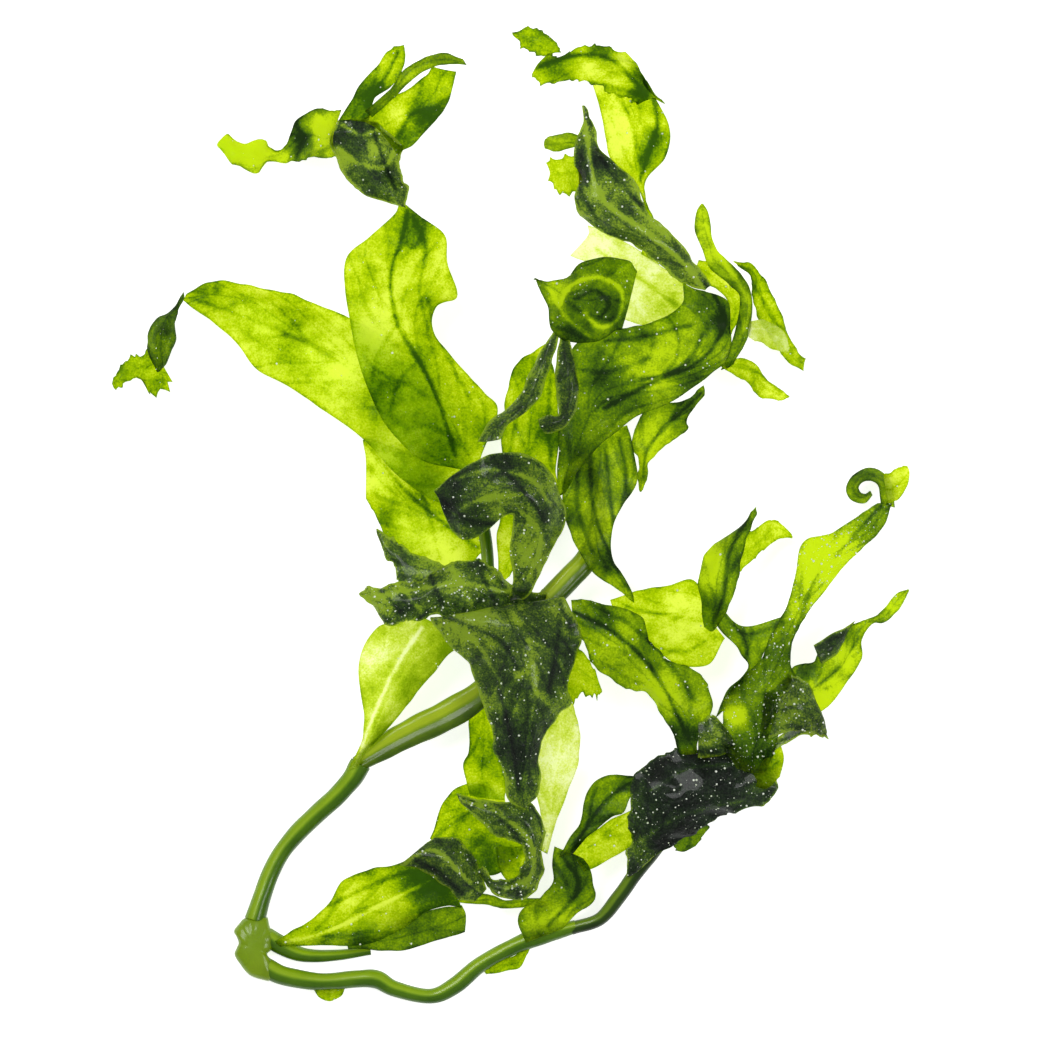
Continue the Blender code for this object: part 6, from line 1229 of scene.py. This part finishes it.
scatter = bpy.data.node_groups.new("Scatter grains", "GeometryNodeTree")
for label, kind, direction in (
        ("Bed", "NodeSocketGeometry", "INPUT"), ("Grains a square metre", "NodeSocketFloat", "INPUT"),
        ("Smallest", "NodeSocketFloat", "INPUT"), ("Largest", "NodeSocketFloat", "INPUT"),
        ("Grains", "NodeSocketGeometry", "OUTPUT")):
    scatter.interface.new_socket(label, in_out=direction, socket_type=kind)
given = node(scatter, "NodeGroupInput").outputs
share = node(scatter, "GeometryNodeInputNamedAttribute", {"Name": "Share"}, data_type="FLOAT")
thick = node(scatter, "ShaderNodeMath", {0: share.outputs["Attribute"], 1: given["Grains a square metre"]},
             operation="MULTIPLY").outputs[0]
spots = node(scatter, "GeometryNodeDistributePointsOnFaces",
             {"Mesh": given["Bed"], "Density": thick, "Seed": 7})
luck = node(scatter, "FunctionNodeRandomValue", {2: 0.0, 3: 1.0, "Seed": 3},
            data_type="FLOAT").outputs[1]
skew = node(scatter, "ShaderNodeMath", {0: luck, 1: 4.0}, operation="POWER").outputs[0]
size = node(scatter, "ShaderNodeMapRange",
            {"Value": skew, "To Min": given["Smallest"], "To Max": given["Largest"]})
turn = node(scatter, "FunctionNodeRandomValue", {0: (0.0, 0.0, 0.0), 1: (6.28, 6.28, 6.28), "Seed": 5},
            data_type="FLOAT_VECTOR").outputs[0]
grain = node(scatter, "GeometryNodeMeshIcoSphere", {"Radius": 1.0, "Subdivisions": 1}).outputs["Mesh"]
laid = node(scatter, "GeometryNodeInstanceOnPoints", {
    "Points": spots.outputs["Points"], "Instance": grain, "Rotation": turn, "Scale": size.outputs["Result"]})
real = node(scatter, "GeometryNodeRealizeInstances", {"Geometry": laid.outputs["Instances"]})
coated = node(scatter, "GeometryNodeSetMaterial",
              {"Geometry": real.outputs["Geometry"], "Material": grain_white})
node(scatter, "NodeGroupOutput", {0: coated.outputs["Geometry"]})
step = bed.modifiers.new("Scatter grains", "NODES")
step.node_group = scatter
wanted = {"Grains a square metre": 150000.0, "Smallest": 0.00009, "Largest": 0.00042}
for item in scatter.interface.items_tree:
    if item.in_out == "INPUT" and item.name in wanted:
        step[item.identifier] = wanted[item.name]
settled = bed.evaluated_get(bpy.context.evaluated_depsgraph_get())
grain_mesh = bpy.data.meshes.new_from_object(settled)
grain_mesh.name = "Grains"
bed.modifiers.remove(step)
bpy.data.objects.remove(bed)
grains_piece = bpy.data.objects.new("grains", grain_mesh)
bpy.context.scene.collection.objects.link(grains_piece)
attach(grains_piece, "root")


# The floor, the lights and the camera
# A plain white floor that shines softly lights the blades from behind, as in the photo, and large
# soft lights above give their wet faces a sheen. The camera looks straight down.
PHOTO_WIDTH = 1040
PHOTO_HEIGHT = 1041
MM_PER_PIXEL = 0.3
PHOTO_ORIGIN = 500
CAMERA_HEIGHT = 6.0
SENSOR = 36.0
FLOOR_SIZE = 3.0
FLOOR_DROP = 0.0003

floor_white = bpy.data.materials.new("White floor")
floor_white.use_nodes = True
floor_shader = floor_white.node_tree.nodes["Principled BSDF"]
floor_shader.inputs["Base Color"].default_value = (0.85, 0.85, 0.85, 1.0)
floor_shader.inputs["Roughness"].default_value = 0.9
floor_shader.inputs["Emission Color"].default_value = (1.0, 1.0, 1.0, 1.0)
floor_shader.inputs["Emission Strength"].default_value = 0.75
bm = bmesh.new()
bmesh.ops.create_grid(bm, x_segments=1, y_segments=1, size=FLOOR_SIZE)
floor_mesh = bpy.data.meshes.new("Floor")
bm.to_mesh(floor_mesh)
bm.free()
floor_mesh.materials.append(floor_white)
floor = bpy.data.objects.new("Floor", floor_mesh)
floor.location.z = -FLOOR_DROP
bpy.context.scene.collection.objects.link(floor)

for name, spot, size, power in (("Large soft light", (-0.45, 0.5, 1.3), 0.6, 9.0),
                                ("Side soft light", (0.8, -0.2, 1.0), 0.4, 4.0)):
    lamp = bpy.data.lights.new(name, "AREA")
    lamp.shape = "SQUARE"
    lamp.size = size
    lamp.energy = power
    light = bpy.data.objects.new(name, lamp)
    light.location = spot
    light.rotation_euler = (Vector((0, 0, 0)) - Vector(spot)).to_track_quat("-Z", "Y").to_euler()
    bpy.context.scene.collection.objects.link(light)

sky = bpy.data.worlds.new("Plain white room")
sky.use_nodes = True
sky.node_tree.nodes["Background"].inputs["Color"].default_value = (1.0, 1.0, 1.0, 1.0)
sky.node_tree.nodes["Background"].inputs["Strength"].default_value = 0.35
bpy.context.scene.world = sky
bpy.context.scene.view_settings.view_transform = "Standard"

lens = bpy.data.cameras.new("Camera")
lens.sensor_width = SENSOR
lens.sensor_fit = "HORIZONTAL"
lens.lens = SENSOR * CAMERA_HEIGHT / (PHOTO_WIDTH * MM_PER_PIXEL * MM)
lens.clip_end = 20.0
camera = bpy.data.objects.new("Camera", lens)
camera.location = (((PHOTO_WIDTH / 2 - PHOTO_ORIGIN) * MM_PER_PIXEL - FRAME_ORIGIN.x) * MM,
                   ((PHOTO_ORIGIN - PHOTO_HEIGHT / 2) * MM_PER_PIXEL - FRAME_ORIGIN.y) * MM, CAMERA_HEIGHT)
bpy.context.scene.collection.objects.link(camera)
bpy.context.scene.camera = camera
